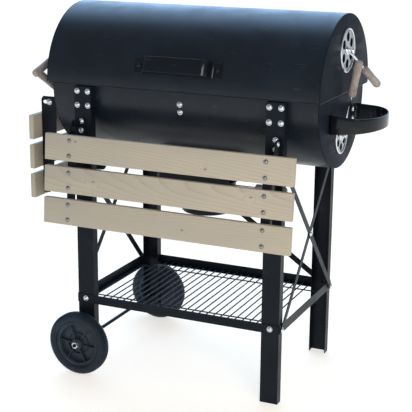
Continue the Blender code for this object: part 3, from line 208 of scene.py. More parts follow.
def pine(name, axis, seed, knots):
    """Planed pine: growth rings about a tree axis behind the board, fibres, pores and small knots.

    axis is the index of the board's length; knots are (along, across) places on its face.
    """
    finish = Finish(name, Specular_IOR_Level=0.28)
    split = finish.node("SeparateXYZ", {0: finish.place}).outputs
    length, thickness = split[axis], split[1 - axis]
    height = split[2]
    board = finish.node("CombineXYZ", {0: length, 1: height, 2: thickness}).outputs[0]
    own_stretch = (seed * 3.1, seed * 0.37, seed * 0.73)
    shifted = finish.node("VectorMath", {0: board, 1: own_stretch}, operation="ADD").outputs[0]
    waver = finish.noise(1.0, 3.0, finish.stretched((2.6, 11.0, 11.0), shifted))
    drift = finish.math("MULTIPLY", finish.math("SUBTRACT", waver, 0.5), 0.028)
    across = finish.math("ADD", finish.math("ADD", height, drift), -0.60 + 0.013 * sin(seed * 5.0))
    tilt = 0.045 * (1 if int(seed * 10) % 2 else -1)
    depth = finish.math("ADD", finish.math("MULTIPLY", length, tilt), thickness)
    depth = finish.math("ADD", depth, TREE_AXIS_DEPTH + TREE_AXIS_SPREAD * sin(seed * 7.0))
    reach = finish.math("SQRT", finish.math("ADD", finish.math("MULTIPLY", across, across),
                                            finish.math("MULTIPLY", depth, depth)))
    core = None
    for along_board, up_board in knots:
        knot = (along_board, up_board, 0.0)
        offset = finish.node("VectorMath", {0: board, 1: knot}, operation="SUBTRACT").outputs[0]
        flat = finish.node("VectorMath", {0: offset, 1: (0.55, 1.0, 0.0)}, operation="MULTIPLY").outputs[0]
        distance = finish.node("VectorMath", {0: flat}, operation="LENGTH").outputs["Value"]
        reach = finish.math("ADD", reach, finish.fade(distance, 0.016, 0.0, 0.0, 0.006))
        spot = finish.fade(distance, 0.0034, 0.0012)
        core = spot if core is None else finish.math("MAXIMUM", core, spot)
    ring = finish.math("FRACT", finish.math("MULTIPLY", reach, 1 / RING_PITCH))
    late = finish.math("POWER", ring, 2.6)
    late = finish.math("MULTIPLY", late, finish.fade(ring, 1.0, 0.90))
    fibre = finish.noise(1.0, 5.0, finish.stretched((14.0, 620.0, 620.0), shifted))
    pores = finish.noise(1.0, 2.0, finish.stretched((45.0, 1500.0, 1500.0), shifted))
    clouds = finish.noise(1.0, 3.0, finish.stretched((3.0, 14.0, 14.0), shifted))
    colour = finish.ramp(late, [(0.0, EARLY_WOOD), (0.45, MID_WOOD), (1.0, LATE_WOOD)])
    colour = finish.mix(finish.fade(fibre, 0.30, 0.72, 0.0, 0.34), colour, FIBRE_WOOD)
    colour = finish.mix(finish.fade(clouds, 0.35, 0.70, 0.0, 0.40), colour, GREY_WOOD)
    colour = finish.mix(finish.fade(pores, 0.60, 0.74, 0.0, 0.30), colour, LATE_WOOD)
    if core is not None:
        colour = finish.mix(finish.math("MULTIPLY", core, 0.75), colour, KNOT_WOOD)
    finish.set("Base Color", colour)
    finish.set("Roughness", finish.fade(fibre, 0.25, 0.75, 0.52, 0.72))
    finish.bump((fibre, 0.25, 0.0004), (late, 0.12, 0.0005), (pores, 0.20, 0.0003))
    return finish.material


def grip_wood(name):
    """Turned grip: long fibres, slightly pink-brown, worn lighter where it is held."""
    finish = Finish(name, Specular_IOR_Level=0.35)
    fibre = finish.noise(160.0, 6.0, finish.stretched((1.0, 0.35, 0.30)))
    worn = finish.noise(22.0, 3.0)
    colour = finish.ramp(fibre, [(0.30, (0.210, 0.162, 0.142)), (0.52, (0.320, 0.262, 0.236)),
                                 (0.75, (0.420, 0.362, 0.332))])
    handled = finish.fade(worn, 0.45, 0.70, 0.0, 0.45)
    finish.set("Base Color", finish.mix(handled, colour, (0.450, 0.400, 0.370)))
    finish.set("Roughness", finish.fade(worn, 0.35, 0.70, 0.60, 0.42))
    finish.bump((fibre, 0.30, 0.0004))
    return finish.material


def moulded(name, colour, roughness, grain, depth):
    """Moulded black plastic or rubber: fine grain, faint flow marks and dust in the hollows."""
    finish = Finish(name, Specular_IOR_Level=0.20)
    flow = finish.noise(26.0, 4.0, distortion=0.6)
    dusty = tuple(min(1.0, part * 2.1 + 0.012) for part in colour)
    finish.set("Base Color", finish.mix(finish.fade(flow, 0.42, 0.75, 0.0, 0.55), colour, dusty))
    finish.set("Roughness", finish.fade(flow, 0.30, 0.70, roughness - 0.07, roughness + 0.08))
    finish.bump((finish.noise(grain, 2.0), 0.25, depth), (flow, 0.08, 0.0006))
    return finish.material


def grate_iron(name):
    """Seasoned grate steel with greasy brown patches."""
    finish = Finish(name, Metallic=0.7)
    patches = finish.noise(34.0, 5.0)
    tones = [(0.35, (0.045, 0.045, 0.047)), (0.62, (0.095, 0.088, 0.082)), (0.80, (0.120, 0.075, 0.050))]
    finish.set("Base Color", finish.ramp(patches, tones))
    finish.set("Roughness", finish.fade(patches, 0.3, 0.75, 0.38, 0.66))
    finish.bump((finish.noise(600.0, 3.0), 0.35, 0.0004))
    return finish.material


BARREL_PAINT = paint("barrel_paint", (0.0060, 0.0095, 0.0150), (0.0085, 0.0130, 0.0200), 0.32, 0.30)
END_PAINT = paint("end_cap_paint", (0.0120, 0.0165, 0.0240), (0.0155, 0.0205, 0.0290), 0.46, 0.03)
FRAME_PAINT = paint("frame_paint", (0.0050, 0.0075, 0.0125), (0.0075, 0.0110, 0.0170), 0.38, 0.12, 0.8)
STRAP_PAINT = paint("strap_gloss_paint", (0.0035, 0.0050, 0.0075), (0.0050, 0.0070, 0.0100), 0.15, 0.30, 0.4)
CHROME = plated("chrome", (0.80, 0.82, 0.84), 0.12, (1.0, 1.0, 9.0))
# Damper discs: the same chrome as the rims, coloured darker as a painted dark reflection of their
# surroundings.
DARK_REFLECTION_DISC_CHROME = plated("disc_chrome_painted_dark_reflection", (0.34, 0.36, 0.38), 0.20, (1.0, 1.0, 9.0))
ZINC = plated("zinc_steel", (0.74, 0.76, 0.78), 0.26)
DULL_ZINC = plated("dull_zinc", (0.30, 0.30, 0.29), 0.38)
GRIP_WOOD = grip_wood("grip_wood")
WHEEL_PLASTIC = moulded("wheel_plastic", (0.0200, 0.0300, 0.0430), 0.40, 900.0, 0.0002)
WHEEL_TYRE = moulded("wheel_tyre", (0.0105, 0.0170, 0.0270), 0.50, 1300.0, 0.0003)
GRATE_IRON = grate_iron("grate_iron")


# ---------------------------------------------------------------- shape helpers
def loft(rings, closed=False):
    """A skin through rings that have the same number of points, capped unless it closes on itself."""
    shape = bmesh.new()
    rows = [[shape.verts.new(point) for point in ring] for ring in rings]
    count = len(rows[0])
    pairs = list(zip(rows, rows[1:])) + ([(rows[-1], rows[0])] if closed else [])
    for first, second in pairs:
        for i in range(count):
            j = (i + 1) % count
            shape.faces.new((first[i], first[j], second[j], second[i]))
    if not closed:
        shape.faces.new(reversed(rows[0]))
        shape.faces.new(rows[-1])
    return shape


def turned(profile, steps=64, lug=None):
    """Turn an (r, z) loop about Z; lug may change a radius by its place round the ring."""
    rings = []
    for i in range(steps):
        turn = 2 * pi * i / steps
        ring = []
        for radius, height in profile:
            reach = lug(radius, height, i) if lug else radius
            ring.append((reach * cos(turn), reach * sin(turn), height))
        rings.append(ring)
    return loft(rings, closed=True)


def solid_turned(profile, steps=32):
    """Turn an (r, z) profile that starts and ends on the axis, closed by flat end discs."""
    rings = [[(r * cos(2 * pi * i / steps), r * sin(2 * pi * i / steps), z) for i in range(steps)]
             for r, z in profile if r > 0]
    return loft(rings)


def tube(points, radius, sides=12):
    """A round bar through points."""
    points = [Vector(point) for point in points]
    rings = []
    side = None
    for i, point in enumerate(points):
        run = (points[min(i + 1, len(points) - 1)] - points[max(i - 1, 0)]).normalized()
        if side is None:
            side = run.orthogonal().normalized()
        side = (side - run * side.dot(run)).normalized()
        other = run.cross(side)
        rings.append([point + radius * (side * cos(a) + other * sin(a))
                      for a in (2 * pi * k / sides for k in range(sides))])
    return loft(rings)


def rounded_section(width, thickness, edge, steps=3):
    """Corner-rounded rectangle about the origin, as (across, through) pairs."""
    section = []
    for quarter, (sx, sy) in enumerate(((1, 1), (-1, 1), (-1, -1), (1, -1))):
        for k in range(steps + 1):
            turn = radians(90 * quarter + 90 * k / steps)
            section.append((sx * (width / 2 - edge) + edge * cos(turn),
                            sy * (thickness / 2 - edge) + edge * sin(turn)))
    return section


def rounded_path(points, radius, steps=5):
    """A polyline whose corners are turned into short curves."""
    points = [Vector(point) for point in points]
    path = [points[0]]
    for before, corner, after in zip(points, points[1:], points[2:]):
        reach = min(radius, (corner - before).length * 0.48, (after - corner).length * 0.48)
        start = corner + (before - corner).normalized() * reach
        end = corner + (after - corner).normalized() * reach
        for k in range(steps + 1):
            share = k / steps
            path.append(start * (1 - share) ** 2 + corner * 2 * share * (1 - share) + end * share ** 2)
    return path + [points[-1]]


def strap(path, upright, width_at, thickness, edge=0.0011):
    """A flat bar on edge along a path; width_at gives its (middle offset, width) by point index."""
    rings = []
    for i, point in enumerate(path):
        run = (path[min(i + 1, len(path) - 1)] - path[max(i - 1, 0)]).normalized()
        outward = run.cross(upright).normalized()
        offset, width = width_at(point)
        rings.append([point + upright * (offset + across) + outward * through
                      for across, through in rounded_section(width, thickness, edge)])
    return loft(rings)


def bar(low, high, edge, segments=3):
    """A box between two corners with rounded edges."""
    low, high = Vector(low), Vector(high)
    shape = bmesh.new()
    bmesh.ops.create_cube(shape, size=1.0)
    bmesh.ops.scale(shape, vec=high - low, verts=shape.verts)
    bmesh.ops.translate(shape, vec=(low + high) / 2, verts=shape.verts)
    bmesh.ops.bevel(shape, geom=shape.edges[:], offset=edge, segments=segments, profile=0.5,
                    affect="EDGES", clamp_overlap=True)
    return shape


def plate(outline, holes, thickness, edge, placing):
    """A flat plate with openings and rounded edges, laid in its own XY plane and then placed."""
    curve = bpy.data.curves.new("plate", "CURVE")
    curve.dimensions = "2D"
    curve.fill_mode = "BOTH"
    curve.extrude = thickness / 2 - edge
    curve.bevel_depth = edge
    curve.bevel_resolution = 1
    curve.offset = -edge
    for loop in [outline, *holes]:
        spline = curve.splines.new("POLY")
        spline.points.add(len(loop) - 1)
        for point, (x, y) in zip(spline.points, loop):
            point.co = (x, y, 0.0, 1.0)
        spline.use_cyclic_u = True
    carrier = bpy.data.objects.new("plate", curve)
    bpy.context.scene.collection.objects.link(carrier)
    bpy.context.view_layer.update()
    mesh = bpy.data.meshes.new_from_object(carrier.evaluated_get(bpy.context.evaluated_depsgraph_get()))
    bpy.data.objects.remove(carrier, do_unlink=True)
    bpy.data.curves.remove(curve)
    shape = bmesh.new()
    shape.from_mesh(mesh)
    bpy.data.meshes.remove(mesh)
    bmesh.ops.remove_doubles(shape, verts=shape.verts, dist=1e-6)
    bmesh.ops.transform(shape, matrix=placing, verts=shape.verts)
    return shape


def moved(shape, matrix):
    bmesh.ops.transform(shape, matrix=matrix, verts=shape.verts)
    return shape


def joined(shapes):
    """Several shapes as one."""
    whole = bmesh.new()
    for shape in shapes:
        mesh = bpy.data.meshes.new("part")
        shape.to_mesh(mesh)
        shape.free()
        whole.from_mesh(mesh)
        bpy.data.meshes.remove(mesh)
    return whole


def arc(centre, radius, start, end, steps):
    """Points on an arc, angles in degrees."""
    angles = [radians(start + (end - start) * i / steps) for i in range(steps + 1)]
    return [(centre[0] + radius * cos(a), centre[1] + radius * sin(a)) for a in angles]


def along(direction):
    """Turn +Z to a direction."""
    return Vector(direction).to_track_quat("Z", "Y").to_matrix().to_4x4()


def end_plane(x):
    """A plane's own (x, y) laid on the world's (y, z), at a distance along the barrel."""
    return Matrix(((0, 0, 1, x), (1, 0, 0, 0), (0, 1, 0, 0), (0, 0, 0, 1)))


def add_piece(name, shape, material, body, replaced=(), sharp=40):
    """Link a finished shape where the frame has the barrel, riding on its body."""
    bmesh.ops.recalc_face_normals(shape, faces=shape.faces)
    bmesh.ops.translate(shape, vec=MIDDLE, verts=shape.verts)
    mesh = bpy.data.meshes.new(name)
    shape.to_mesh(mesh)
    shape.free()
    mesh.shade_smooth()
    mesh.set_sharp_from_angle(angle=radians(sharp))
    mesh.materials.append(material)
    piece = bpy.data.objects.new(name, mesh)
    bpy.context.scene.collection.objects.link(piece)
    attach(piece, body)
    if replaced:
        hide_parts(*replaced)


# ---------------------------------------------------------------- carried-over frame parts
CARRIED = (
    (FRAME_PAINT, (
        "leg_front_left", "leg_front_right", "leg_rear_left", "leg_rear_right", "rail_front", "rail_rear",
        "rail_left", "rail_right", "x_brace_left", "x_brace_right", "brace_rear", "hinge_bracket_left",
        "hinge_bracket_right", "hinge_leaf_left", "hinge_leaf_right", "front_arm_left", "front_arm_right",
        "front_lug_left", "front_lug_right", "side_arm_front", "side_arm_rear", "side_lug_front",
        "side_lug_rear")),
    (BARREL_PAINT, ("firebox_rim", "ash_chute")),
)
WELD_DISTANCE, BROKEN_EDGE = 0.00002, 0.0004


def dress_carried_nodes():
    """Give the frame's own parts their finish and softly broken edges."""
    for material, names in CARRIED:
        for name in names:
            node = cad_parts[name]
            node.data.materials.clear()
            node.data.materials.append(material)
            weld = node.modifiers.new("weld", "WELD")
            weld.merge_threshold = WELD_DISTANCE
            edge = node.modifiers.new("edge", "BEVEL")
            edge.width = BROKEN_EDGE
            edge.segments = 2
            edge.limit_method = "ANGLE"
            edge.angle_limit = radians(40)


# ---------------------------------------------------------------- barrel
def half_shell(radius, centre_z, start, end, straight_top, half_length, steps):
    """Bent sheet between two angles, run along X, with its free edges rounded."""
    outer = arc((0, centre_z), radius, start, end, steps)
    inner = arc((0, centre_z), radius - SHEET, end, start, steps)
    if straight_top:
        outer = [(outer[0][0], straight_top), *outer, (outer[-1][0], straight_top)]
        inner = [(inner[0][0], straight_top), *inner, (inner[-1][0], straight_top)]
    rings = []
    edge = 0.0005
    for x in (-half_length, -half_length + edge, half_length - edge, half_length):
        rings.append([(x, y, z) for y, z in outer + inner])
    return loft(rings)


def vent_loops(height, radius):
    """Round vent holes in a ring, as loops of (y, z)."""
    loops = []
    for i in range(VENT_HOLES):
        turn = 2 * pi * i / VENT_HOLES
        centre = (radius * 0.60 * sin(turn), height + radius * 0.60 * cos(turn))
        loops.append(arc(centre, radius * 0.205, 0, 348, 29))
    return loops


def build_barrel():
    """Lid and trough shells with their end caps."""
    lid_run = LID_HALF - PLATE - GAP
    shell = half_shell(LID_RADIUS, LID_AXIS_Z, 0, 180, None, lid_run, 160)
    add_piece("lid_skin", shell, BARREL_PAINT, "lid", ["lid_shell"])
    run = FIREBOX_HALF - PLATE - GAP
    shell = half_shell(FIREBOX_RADIUS, FIREBOX_AXIS_Z, 180, 360, FIREBOX_TOP, run, 140)
    add_piece("firebox_skin", shell, BARREL_PAINT, "stand", ["firebox_shell"])
    for side, label in ((-1, "left"), (1, "right")):
        outline = arc((0, LID_AXIS_Z), LID_RADIUS, 0, 180, 150)
        cap = plate(outline, vent_loops(*UPPER_VENT), PLATE, 0.0007,
                    end_plane(side * (LID_HALF - PLATE / 2)))
        add_piece(f"lid_end_{label}", cap, END_PAINT, "lid", [f"lid_cap_{label}"])
        outline = ([(-FIREBOX_RADIUS, FIREBOX_TOP)] + arc((0, FIREBOX_AXIS_Z), FIREBOX_RADIUS, 180, 360, 140)
                   + [(FIREBOX_RADIUS, FIREBOX_TOP)])
        cap = plate(outline, vent_loops(*LOWER_VENT), PLATE, 0.0007,
                    end_plane(side * (FIREBOX_HALF - PLATE / 2)))
        add_piece(f"firebox_end_{label}", cap, END_PAINT, "stand", [f"firebox_cap_{label}"])


def lid_frame(stand=0.0):
    """The handle's place: X along the barrel, Y out of the lid, Z up along its skin."""
    normal = Vector((0, -cos(HANDLE_ANGLE), sin(HANDLE_ANGLE)))
    tangent = Vector((0, sin(HANDLE_ANGLE), cos(HANDLE_ANGLE)))
    origin = Vector((0, 0, LID_AXIS_Z)) + normal * (LID_RADIUS + GAP + stand)
    return Matrix(((1, normal.x, tangent.x, origin.x), (0, normal.y, tangent.y, origin.y),
                   (0, normal.z, tangent.z, origin.z), (0, 0, 0, 1)))


def build_handles():
    """The bent strap on the lid and the D-shaped push handle."""
    stand = 0.034
    half = [(0.123, 0.0018), (0.104, 0.0018), (0.0985, 0.0045), (0.090, 0.0240), (0.082, 0.0310),
            (0.066, stand), (0.030, stand + 0.0015)]
    points = [(-x, n, 0) for x, n in half] + [(x, n, 0) for x, n in reversed(half)]
    handle = strap(rounded_path(points, 0.009), Vector((0, 0, 1)), lambda point: (0.0, 0.041), 0.003)
    add_piece("lid_handle_strap", moved(handle, lid_frame()), STRAP_PAINT, "lid",
              ["lid_handle"])

    face, half_width, straight, tip = FIREBOX_HALF + GAP + 0.0016, 0.106, 0.440, 0.503
    near = [(face, half_width - 0.028), (face, half_width - 0.004), (face + 0.004, half_width)]
    bend = [(straight + (tip - straight) * sin(radians(90 * i / 24)), half_width * cos(radians(90 * i / 24)))
            for i in range(25)]
    front = [Vector((x, -y, 0)) for x, y in near + bend]
    rear = [Vector((x, y, 0)) for x, y in reversed((near + bend)[:-1])]

    def width_at(point):
        share = max(0.0, (point.x - face) / (tip - face))
        low, high = 0.721 + 0.011 * share, 0.771 - 0.006 * share
        return (low + high) / 2, high - low

    path = rounded_path(front[:4], 0.0035)[:-1] + front[3:] + rear[:-3] + rounded_path(rear[-4:], 0.0035)[1:]
    loop = strap(path, Vector((0, 0, 1)), width_at, 0.003)
    add_piece("push_handle", loop, STRAP_PAINT, "stand", ["loop_handle"])


# ---------------------------------------------------------------- dampers
def lever_point(side, face_x, height, lean, turn):
    """The point at a distance along a lever from its damper's centre."""
    lean, turn = radians(lean), radians(turn)

    def at(distance):
        radial = cos(lean) * distance
        return Vector((side * (face_x + 0.005 + sin(lean) * distance), radial * sin(turn),
                       height + radial * cos(turn)))
    return at


def grip_shape(length):
    """A turned grip with soft ends and a slightly slimmer middle."""
    wide = GRIP_RADIUS
    profile = [(0.0026, 0.0004), (wide * 0.70, 0.0), (wide * 0.86, 0.0010), (wide * 0.96, 0.0034),
               (wide, 0.0080), (wide * 0.965, length * 0.28), (wide * 0.93, length * 0.50),
               (wide * 0.965, length * 0.72), (wide, length - 0.0090), (wide * 0.97, length - 0.0042),
               (wide * 0.88, length - 0.0013), (wide * 0.70, length)]
    return solid_turned(profile, 40)


def build_dampers():
    """Chrome discs with vent holes, flat levers bent away from them, and turned grips. The discs' chrome is
    coloured darker than the rims': a painted dark reflection.
    """
    for label, (side, face_x, (height, radius), lean, turn, grip_start) in DAMPERS.items():
        body = f"{label}_damper"
        at = lever_point(side, face_x, height, lean, turn)
        flat = end_plane(side * (face_x + 0.0013))
        web = plate(arc((0, height), radius - 0.0035, 0, 357, 119), vent_loops(height, radius),
                    0.0019, 0.0004, flat)
        rim = turned([(radius - 0.0052, 0.0004), (radius - 0.0047, 0.0036), (radius - 0.0036, 0.0045),
                      (radius - 0.0016, 0.0045), (radius - 0.0003, 0.0036), (radius, 0.0022),
                      (radius, 0.0004)], 96)
        boss = solid_turned([(0.0125, 0.0020), (0.0120, 0.0031), (0.0095, 0.0036), (0.0088, 0.0056),
                             (0.0078, 0.0061)], 36)
        place = Matrix.Translation((side * face_x, 0, height)) @ along((side, 0, 0))
        tangent = Vector((0, cos(radians(turn)), -sin(radians(turn))))
        path = [at(-0.012), at(0.010), at(0.022), at(grip_start + 0.004)]
        for point in path[:2]:
            point.x = side * (face_x + 0.0046)
        lever = strap(rounded_path(path, 0.008), tangent, lambda point: (0.0, 0.0085), 0.0022, 0.0008)
        tang = tube([at(grip_start - 0.002), at(grip_start + GRIP_LENGTH - 0.004)], 0.0022)
        # The disc takes the darkened chrome: a painted dark reflection.
        add_piece(f"damper_{label}_disc", web, DARK_REFLECTION_DISC_CHROME, body)
        shape = joined([moved(rim, place), moved(boss, place), lever, tang])
        add_piece(f"damper_{label}_lever", shape, CHROME, body, [f"damper_{label}"])
        grip = moved(grip_shape(GRIP_LENGTH), Matrix.Translation(at(grip_start)) @ along(at(1.0) - at(0.0)))
        add_piece(f"grip_{label}_turned", grip, GRIP_WOOD, body, [f"grip_{label}"])


# ---------------------------------------------------------------- slats
def build_slats():
    """Front and side slats, each sawn from its own stretch of pine."""
    tilt = Matrix.Rotation(-FRONT_SHELF_TILT, 4, "X")
    hinge_line = Matrix.Translation((0, *FRONT_SHELF_TOP))
    knots = {1: [(-0.262, 0.055), (0.118, 0.020)], 2: [(-0.205, 0.040), (0.246, 0.050)], 3: [(0.060, 0.030)]}
    for i in range(3):
        top = -i * (SLAT_HEIGHT + SLAT_GAP)
        board = bar((-FRONT_SLAT_LENGTH / 2, 0.0, top - SLAT_HEIGHT),
                    (FRONT_SLAT_LENGTH / 2, SLAT_THICKNESS, top), 0.0016)
        base = FRONT_SHELF_TOP[1] + top - SLAT_HEIGHT
        spots = [(MIDDLE.x + x, base + z) for x, z in knots[i + 1]]
        wood = pine(f"pine_front_{i + 1}", 0, 0.31 + 0.52 * i, spots)
        add_piece(f"front_board_{i + 1}", moved(board, hinge_line @ tilt), wood, "front_shelf",
                  [f"front_slat_{i + 1}"])
        top = SIDE_SLAT_TOP - i * (SIDE_SLAT_HEIGHT + SIDE_SLAT_GAP)
        board = bar((SIDE_SLAT_X - SIDE_SLAT_THICKNESS, -SIDE_SLAT_LENGTH / 2, top - SIDE_SLAT_HEIGHT),
                    (SIDE_SLAT_X, SIDE_SLAT_LENGTH / 2, top), 0.0016)
        wood = pine(f"pine_side_{i + 1}", 1, 2.17 + 0.61 * i, [(MIDDLE.y + 0.06 - 0.07 * i, top - 0.030)])
        add_piece(f"side_board_{i + 1}", board, wood, "side_shelf", [f"side_slat_{i + 1}"])


# ---------------------------------------------------------------- wheels
TREAD_LUGS = 80
STEPS_PER_LUG = 4
RIB_PHASE = radians(-6)
SPOKES = 6


def tread(radius, height, step):
    """Drop every second stretch of the tread and shoulders into a groove."""
    if radius < 0.0835:
        return radius
    shift = 1 if height > 0 else 0
    raised = (step + shift) % STEPS_PER_LUG < STEPS_PER_LUG / 2
    return radius if raised else radius - 0.0022


def wheel_parts():
    """Tyre, hub and nut about Z, outer face up."""
    half = WHEEL_WIDTH / 2
    side = [(0.0662, half - 0.0040), (0.0690, half - 0.0014), (0.0735, half), (0.0780, half - 0.0001),
            (0.0822, half - 0.0012), (0.0850, half - 0.0030), (0.0875, half - 0.0050),
            (0.0893, half - 0.0078), (0.0900, half - 0.0105), (0.0900, 0.0012)]
    profile = side + [(0.0884, 0.0003), (0.0884, -0.0003)] + [(r, -z) for r, z in reversed(side)]
    tyre = turned(profile, TREAD_LUGS * STEPS_PER_LUG, tread)

    rim = turned([(0.0657, half - 0.0062), (0.0645, half - 0.0048), (0.0618, half - 0.0046),
                  (0.0608, half - 0.0060), (0.0596, half - 0.0060), (0.0586, half - 0.0044),
                  (0.0562, half - 0.0046), (0.0550, half - 0.0064), (0.0540, half - 0.0125),
                  (0.0540, -half + 0.0130), (0.0560, -half + 0.0050), (0.0657, -half + 0.0055)], 120)
    web = solid_turned([(0.0548, -0.0042), (0.0552, -0.0030), (0.0548, -0.0002), (0.0420, 0.0010),
                        (0.0300, 0.0016), (0.0100, 0.0022)], 96)
    ribs = []
    for i in range(SPOKES):
        turn = Matrix.Rotation(RIB_PHASE + 2 * pi * i / SPOKES, 4, "Z")
        rib = bar((0.0135, -0.0014, -0.004), (0.0548, 0.0014, half - 0.0070), 0.0006, 2)
        ribs.append(moved(rib, turn))
    inner = WHEEL_OUTER_Y - half - LEG_Y - 2 * GAP
    boss = turned([(0.0056, half - 0.0012), (0.0148, half - 0.0012), (0.0162, half - 0.0026),
                   (0.0175, half - 0.0130), (0.0175, -0.004), (0.0095, -half), (0.0095, -inner),
                   (0.0056, -inner)], 64)
    ring = turned([(0.0300, half - 0.0128), (0.0306, half - 0.0118), (0.0314, half - 0.0118),
                   (0.0320, half - 0.0128), (0.0320, -0.002), (0.0300, -0.002)], 72)
    hub = joined([rim, web, boss, ring, *ribs])
    return tyre, hub


def hex_nut(bore, across, height):
    """A hexagonal nut about Z with chamfered corners, standing on z = 0."""
    corner = across / sqrt(3)
    steps = 72
    rings = []
    for radius_cap, z in ((corner * 0.93, 0.0), (corner, height * 0.16), (corner, height * 0.84),
                          (corner * 0.93, height)):
        ring = []
        for i in range(steps):
            turn = 2 * pi * i / steps
            facet = (turn % (pi / 3)) - pi / 6
            reach = min(across / 2 / cos(facet), radius_cap)
            ring.append((reach * cos(turn), reach * sin(turn), z))
        rings.append(ring)
    hole = [[(bore * cos(2 * pi * i / steps), bore * sin(2 * pi * i / steps), z) for i in range(steps)]
            for z in (height, 0.0)]
    return loft(rings + hole, closed=True)


def build_wheels():
    """Two wheels, their axle and its nuts."""
    for face, label in ((-1, "front"), (1, "rear")):
        turn = Matrix(((-face, 0, 0, 0), (0, 0, face, 0), (0, 1, 0, 0), (0, 0, 0, 1)))
        place = Matrix.Translation((WHEEL_X, face * (WHEEL_OUTER_Y - WHEEL_WIDTH / 2), WHEEL_RADIUS)) @ turn
        tyre, hub = wheel_parts()
        body = f"wheel_{label}"
        add_piece(f"{label}_tread", moved(tyre, place), WHEEL_TYRE, body, [f"tyre_{label}"], 28)
        add_piece(f"{label}_hub_moulding", moved(hub, place), WHEEL_PLASTIC, body,
                  [f"hub_{label}"], 30)
        nut = hex_nut(0.0053, 0.0163, 0.0072)
        washer = turned([(0.0053, 0.0), (0.0088, 0.0), (0.0088, 0.0008), (0.0053, 0.0008)], 48)
        place = Matrix.Translation((WHEEL_X, face * (WHEEL_OUTER_Y + 2 * GAP), WHEEL_RADIUS)) @ turn
        add_piece(f"{label}_axle_nut", moved(joined([nut, washer]), place), ZINC, "stand",
                  [f"axle_nut_{label}"], 25)
    reach = WHEEL_OUTER_Y + 0.012
    profile = [(0.0040, -reach), (0.0050, -reach + 0.0010), (0.0050, reach - 0.0010), (0.0040, reach)]
    rod = moved(solid_turned(profile, 32), Matrix.Translation((WHEEL_X, 0, WHEEL_RADIUS)) @ along((0, 1, 0)))
    add_piece("axle_rod", rod, FRAME_PAINT, "stand", ["axle"])


# ---------------------------------------------------------------- wires, grates and ash pot
def grid(cross_wires, wires, radius, sides=10):
    """Round bars one way over round bars the other way."""
    return joined([tube(ends, radius, sides) for ends in cross_wires + wires])


def build_grids():
    """Wire shelf, charcoal grate and cooking grate, of round bars."""
    radius = WIRE_RADIUS
    z = RAIL_TOP - RAIL_HEIGHT + PLATE + GAP + radius
    cross = [[(-0.297, y, z), (0.297, y, z)] for y in (-0.146, 0.146)]
    high = z + 1.5 * radius
    wires = []
    for i in range(SHELF_WIRES):
        x = -SHELF_WIRE_SPAN / 2 + SHELF_WIRE_SPAN * i / (SHELF_WIRES - 1)
        wires.append([(x, -0.205, high), (x, 0.205, high)])
    add_piece("shelf_wires", grid(cross, wires, radius), FRAME_PAINT, "stand", ["wire_shelf"])

    z, radius = CHARCOAL_GRATE_Z, CHARCOAL_BAR_RADIUS
    inner = sqrt((FIREBOX_RADIUS - SHEET) ** 2 - (z - FIREBOX_AXIS_Z) ** 2) - 0.005
    cross = [[(-0.355, y, z), (0.355, y, z)] for y in (-0.11, 0.11)]
    bars = [[(-0.336 + 0.048 * i, -inner, z + 0.0045), (-0.336 + 0.048 * i, inner, z + 0.0045)]
            for i in range(15)]
    add_piece("charcoal_bars", grid(cross, bars, radius, 12), GRATE_IRON, "stand",
              ["charcoal_grate"])

    radius = COOKING_BAR_RADIUS
    z = RIM_TOP + GAP + radius
    cross = [[(-0.366, y, z - 0.00375), (0.366, y, z - 0.00375)] for y in (-0.166, 0.166)]
    bars = [[(-0.360 + 0.720 * i / 28, -0.189, z), (-0.360 + 0.720 * i / 28, 0.189, z)] for i in range(29)]
    add_piece("cooking_bars", grid(cross, bars, radius, 12), GRATE_IRON, "stand",
              ["cooking_grate"])


def build_ash_pot():
    """The pressed ash pot with its rolled rim, and its pull."""
    inner = POT_RADIUS - 0.0105
    wall = 0.0014
    bowl = inner * 0.86
    outside = [(inner, POT_TOP - 0.0021), (inner * 0.997, POT_TOP - 0.030),
               (inner * 0.985, POT_BOTTOM + 0.030), (inner * 0.966, POT_BOTTOM + 0.018),
               (inner * 0.93, POT_BOTTOM + 0.008), (inner * 0.90, POT_BOTTOM + 0.003), (bowl, POT_BOTTOM)]
    rim = [(inner - wall, POT_TOP), (POT_RADIUS - 0.0008, POT_TOP), (POT_RADIUS, POT_TOP - 0.0007),
           (POT_RADIUS, POT_TOP - 0.0014), (POT_RADIUS - 0.0008, POT_TOP - 0.0021)]
    inside = [(max(r - wall, 0.0), z + (wall if i > 2 else 0.0)) for i, (r, z) in enumerate(outside)]
    profile = rim + outside + [(0.0004, POT_BOTTOM), (0.0004, POT_BOTTOM + wall)] + inside[:0:-1]
    add_piece("ash_pot_pressing", turned(profile, 96), FRAME_PAINT, "ash_drawer", ["ash_pot"])
    z = POT_TOP - 0.014
    rod = tube([(inner + 0.0007, 0, z), (0.235, 0, z)], 0.0023, 16)
    add_piece("ash_pot_pull", rod, ZINC, "ash_drawer", ["ash_pot_rod"])
    grip = moved(grip_shape(0.090), Matrix.Translation((0.146, 0, z)) @ along((1, 0, 0)))
    add_piece("ash_pot_turned_grip", grip, GRIP_WOOD, "ash_drawer", ["ash_pot_grip"])


# ---------------------------------------------------------------- bolts
def domed_heads(places, radius=0.0066, height=0.0044):
    """Domed zinc bolt heads on washers, at (outer point, outward direction)."""
    heads = []
    for point, direction in places:
        dome = [(radius + 0.0012, -0.0004), (radius + 0.0012, 0.0006), (radius, 0.0008),
                *((radius * cos(radians(a)), 0.0010 + (height - 0.0010) * sin(radians(a)))
                  for a in (10, 30, 50, 70, 85))]
        heads.append(moved(solid_turned(dome, 20), Matrix.Translation(point) @ along(direction)))
    return joined(heads)


def shelf_point(down):
    """(y, z) at a distance down the front slats' face."""
    return (FRONT_SHELF_TOP[0] - down * sin(FRONT_SHELF_TILT),
            FRONT_SHELF_TOP[1] - down * cos(FRONT_SHELF_TILT))


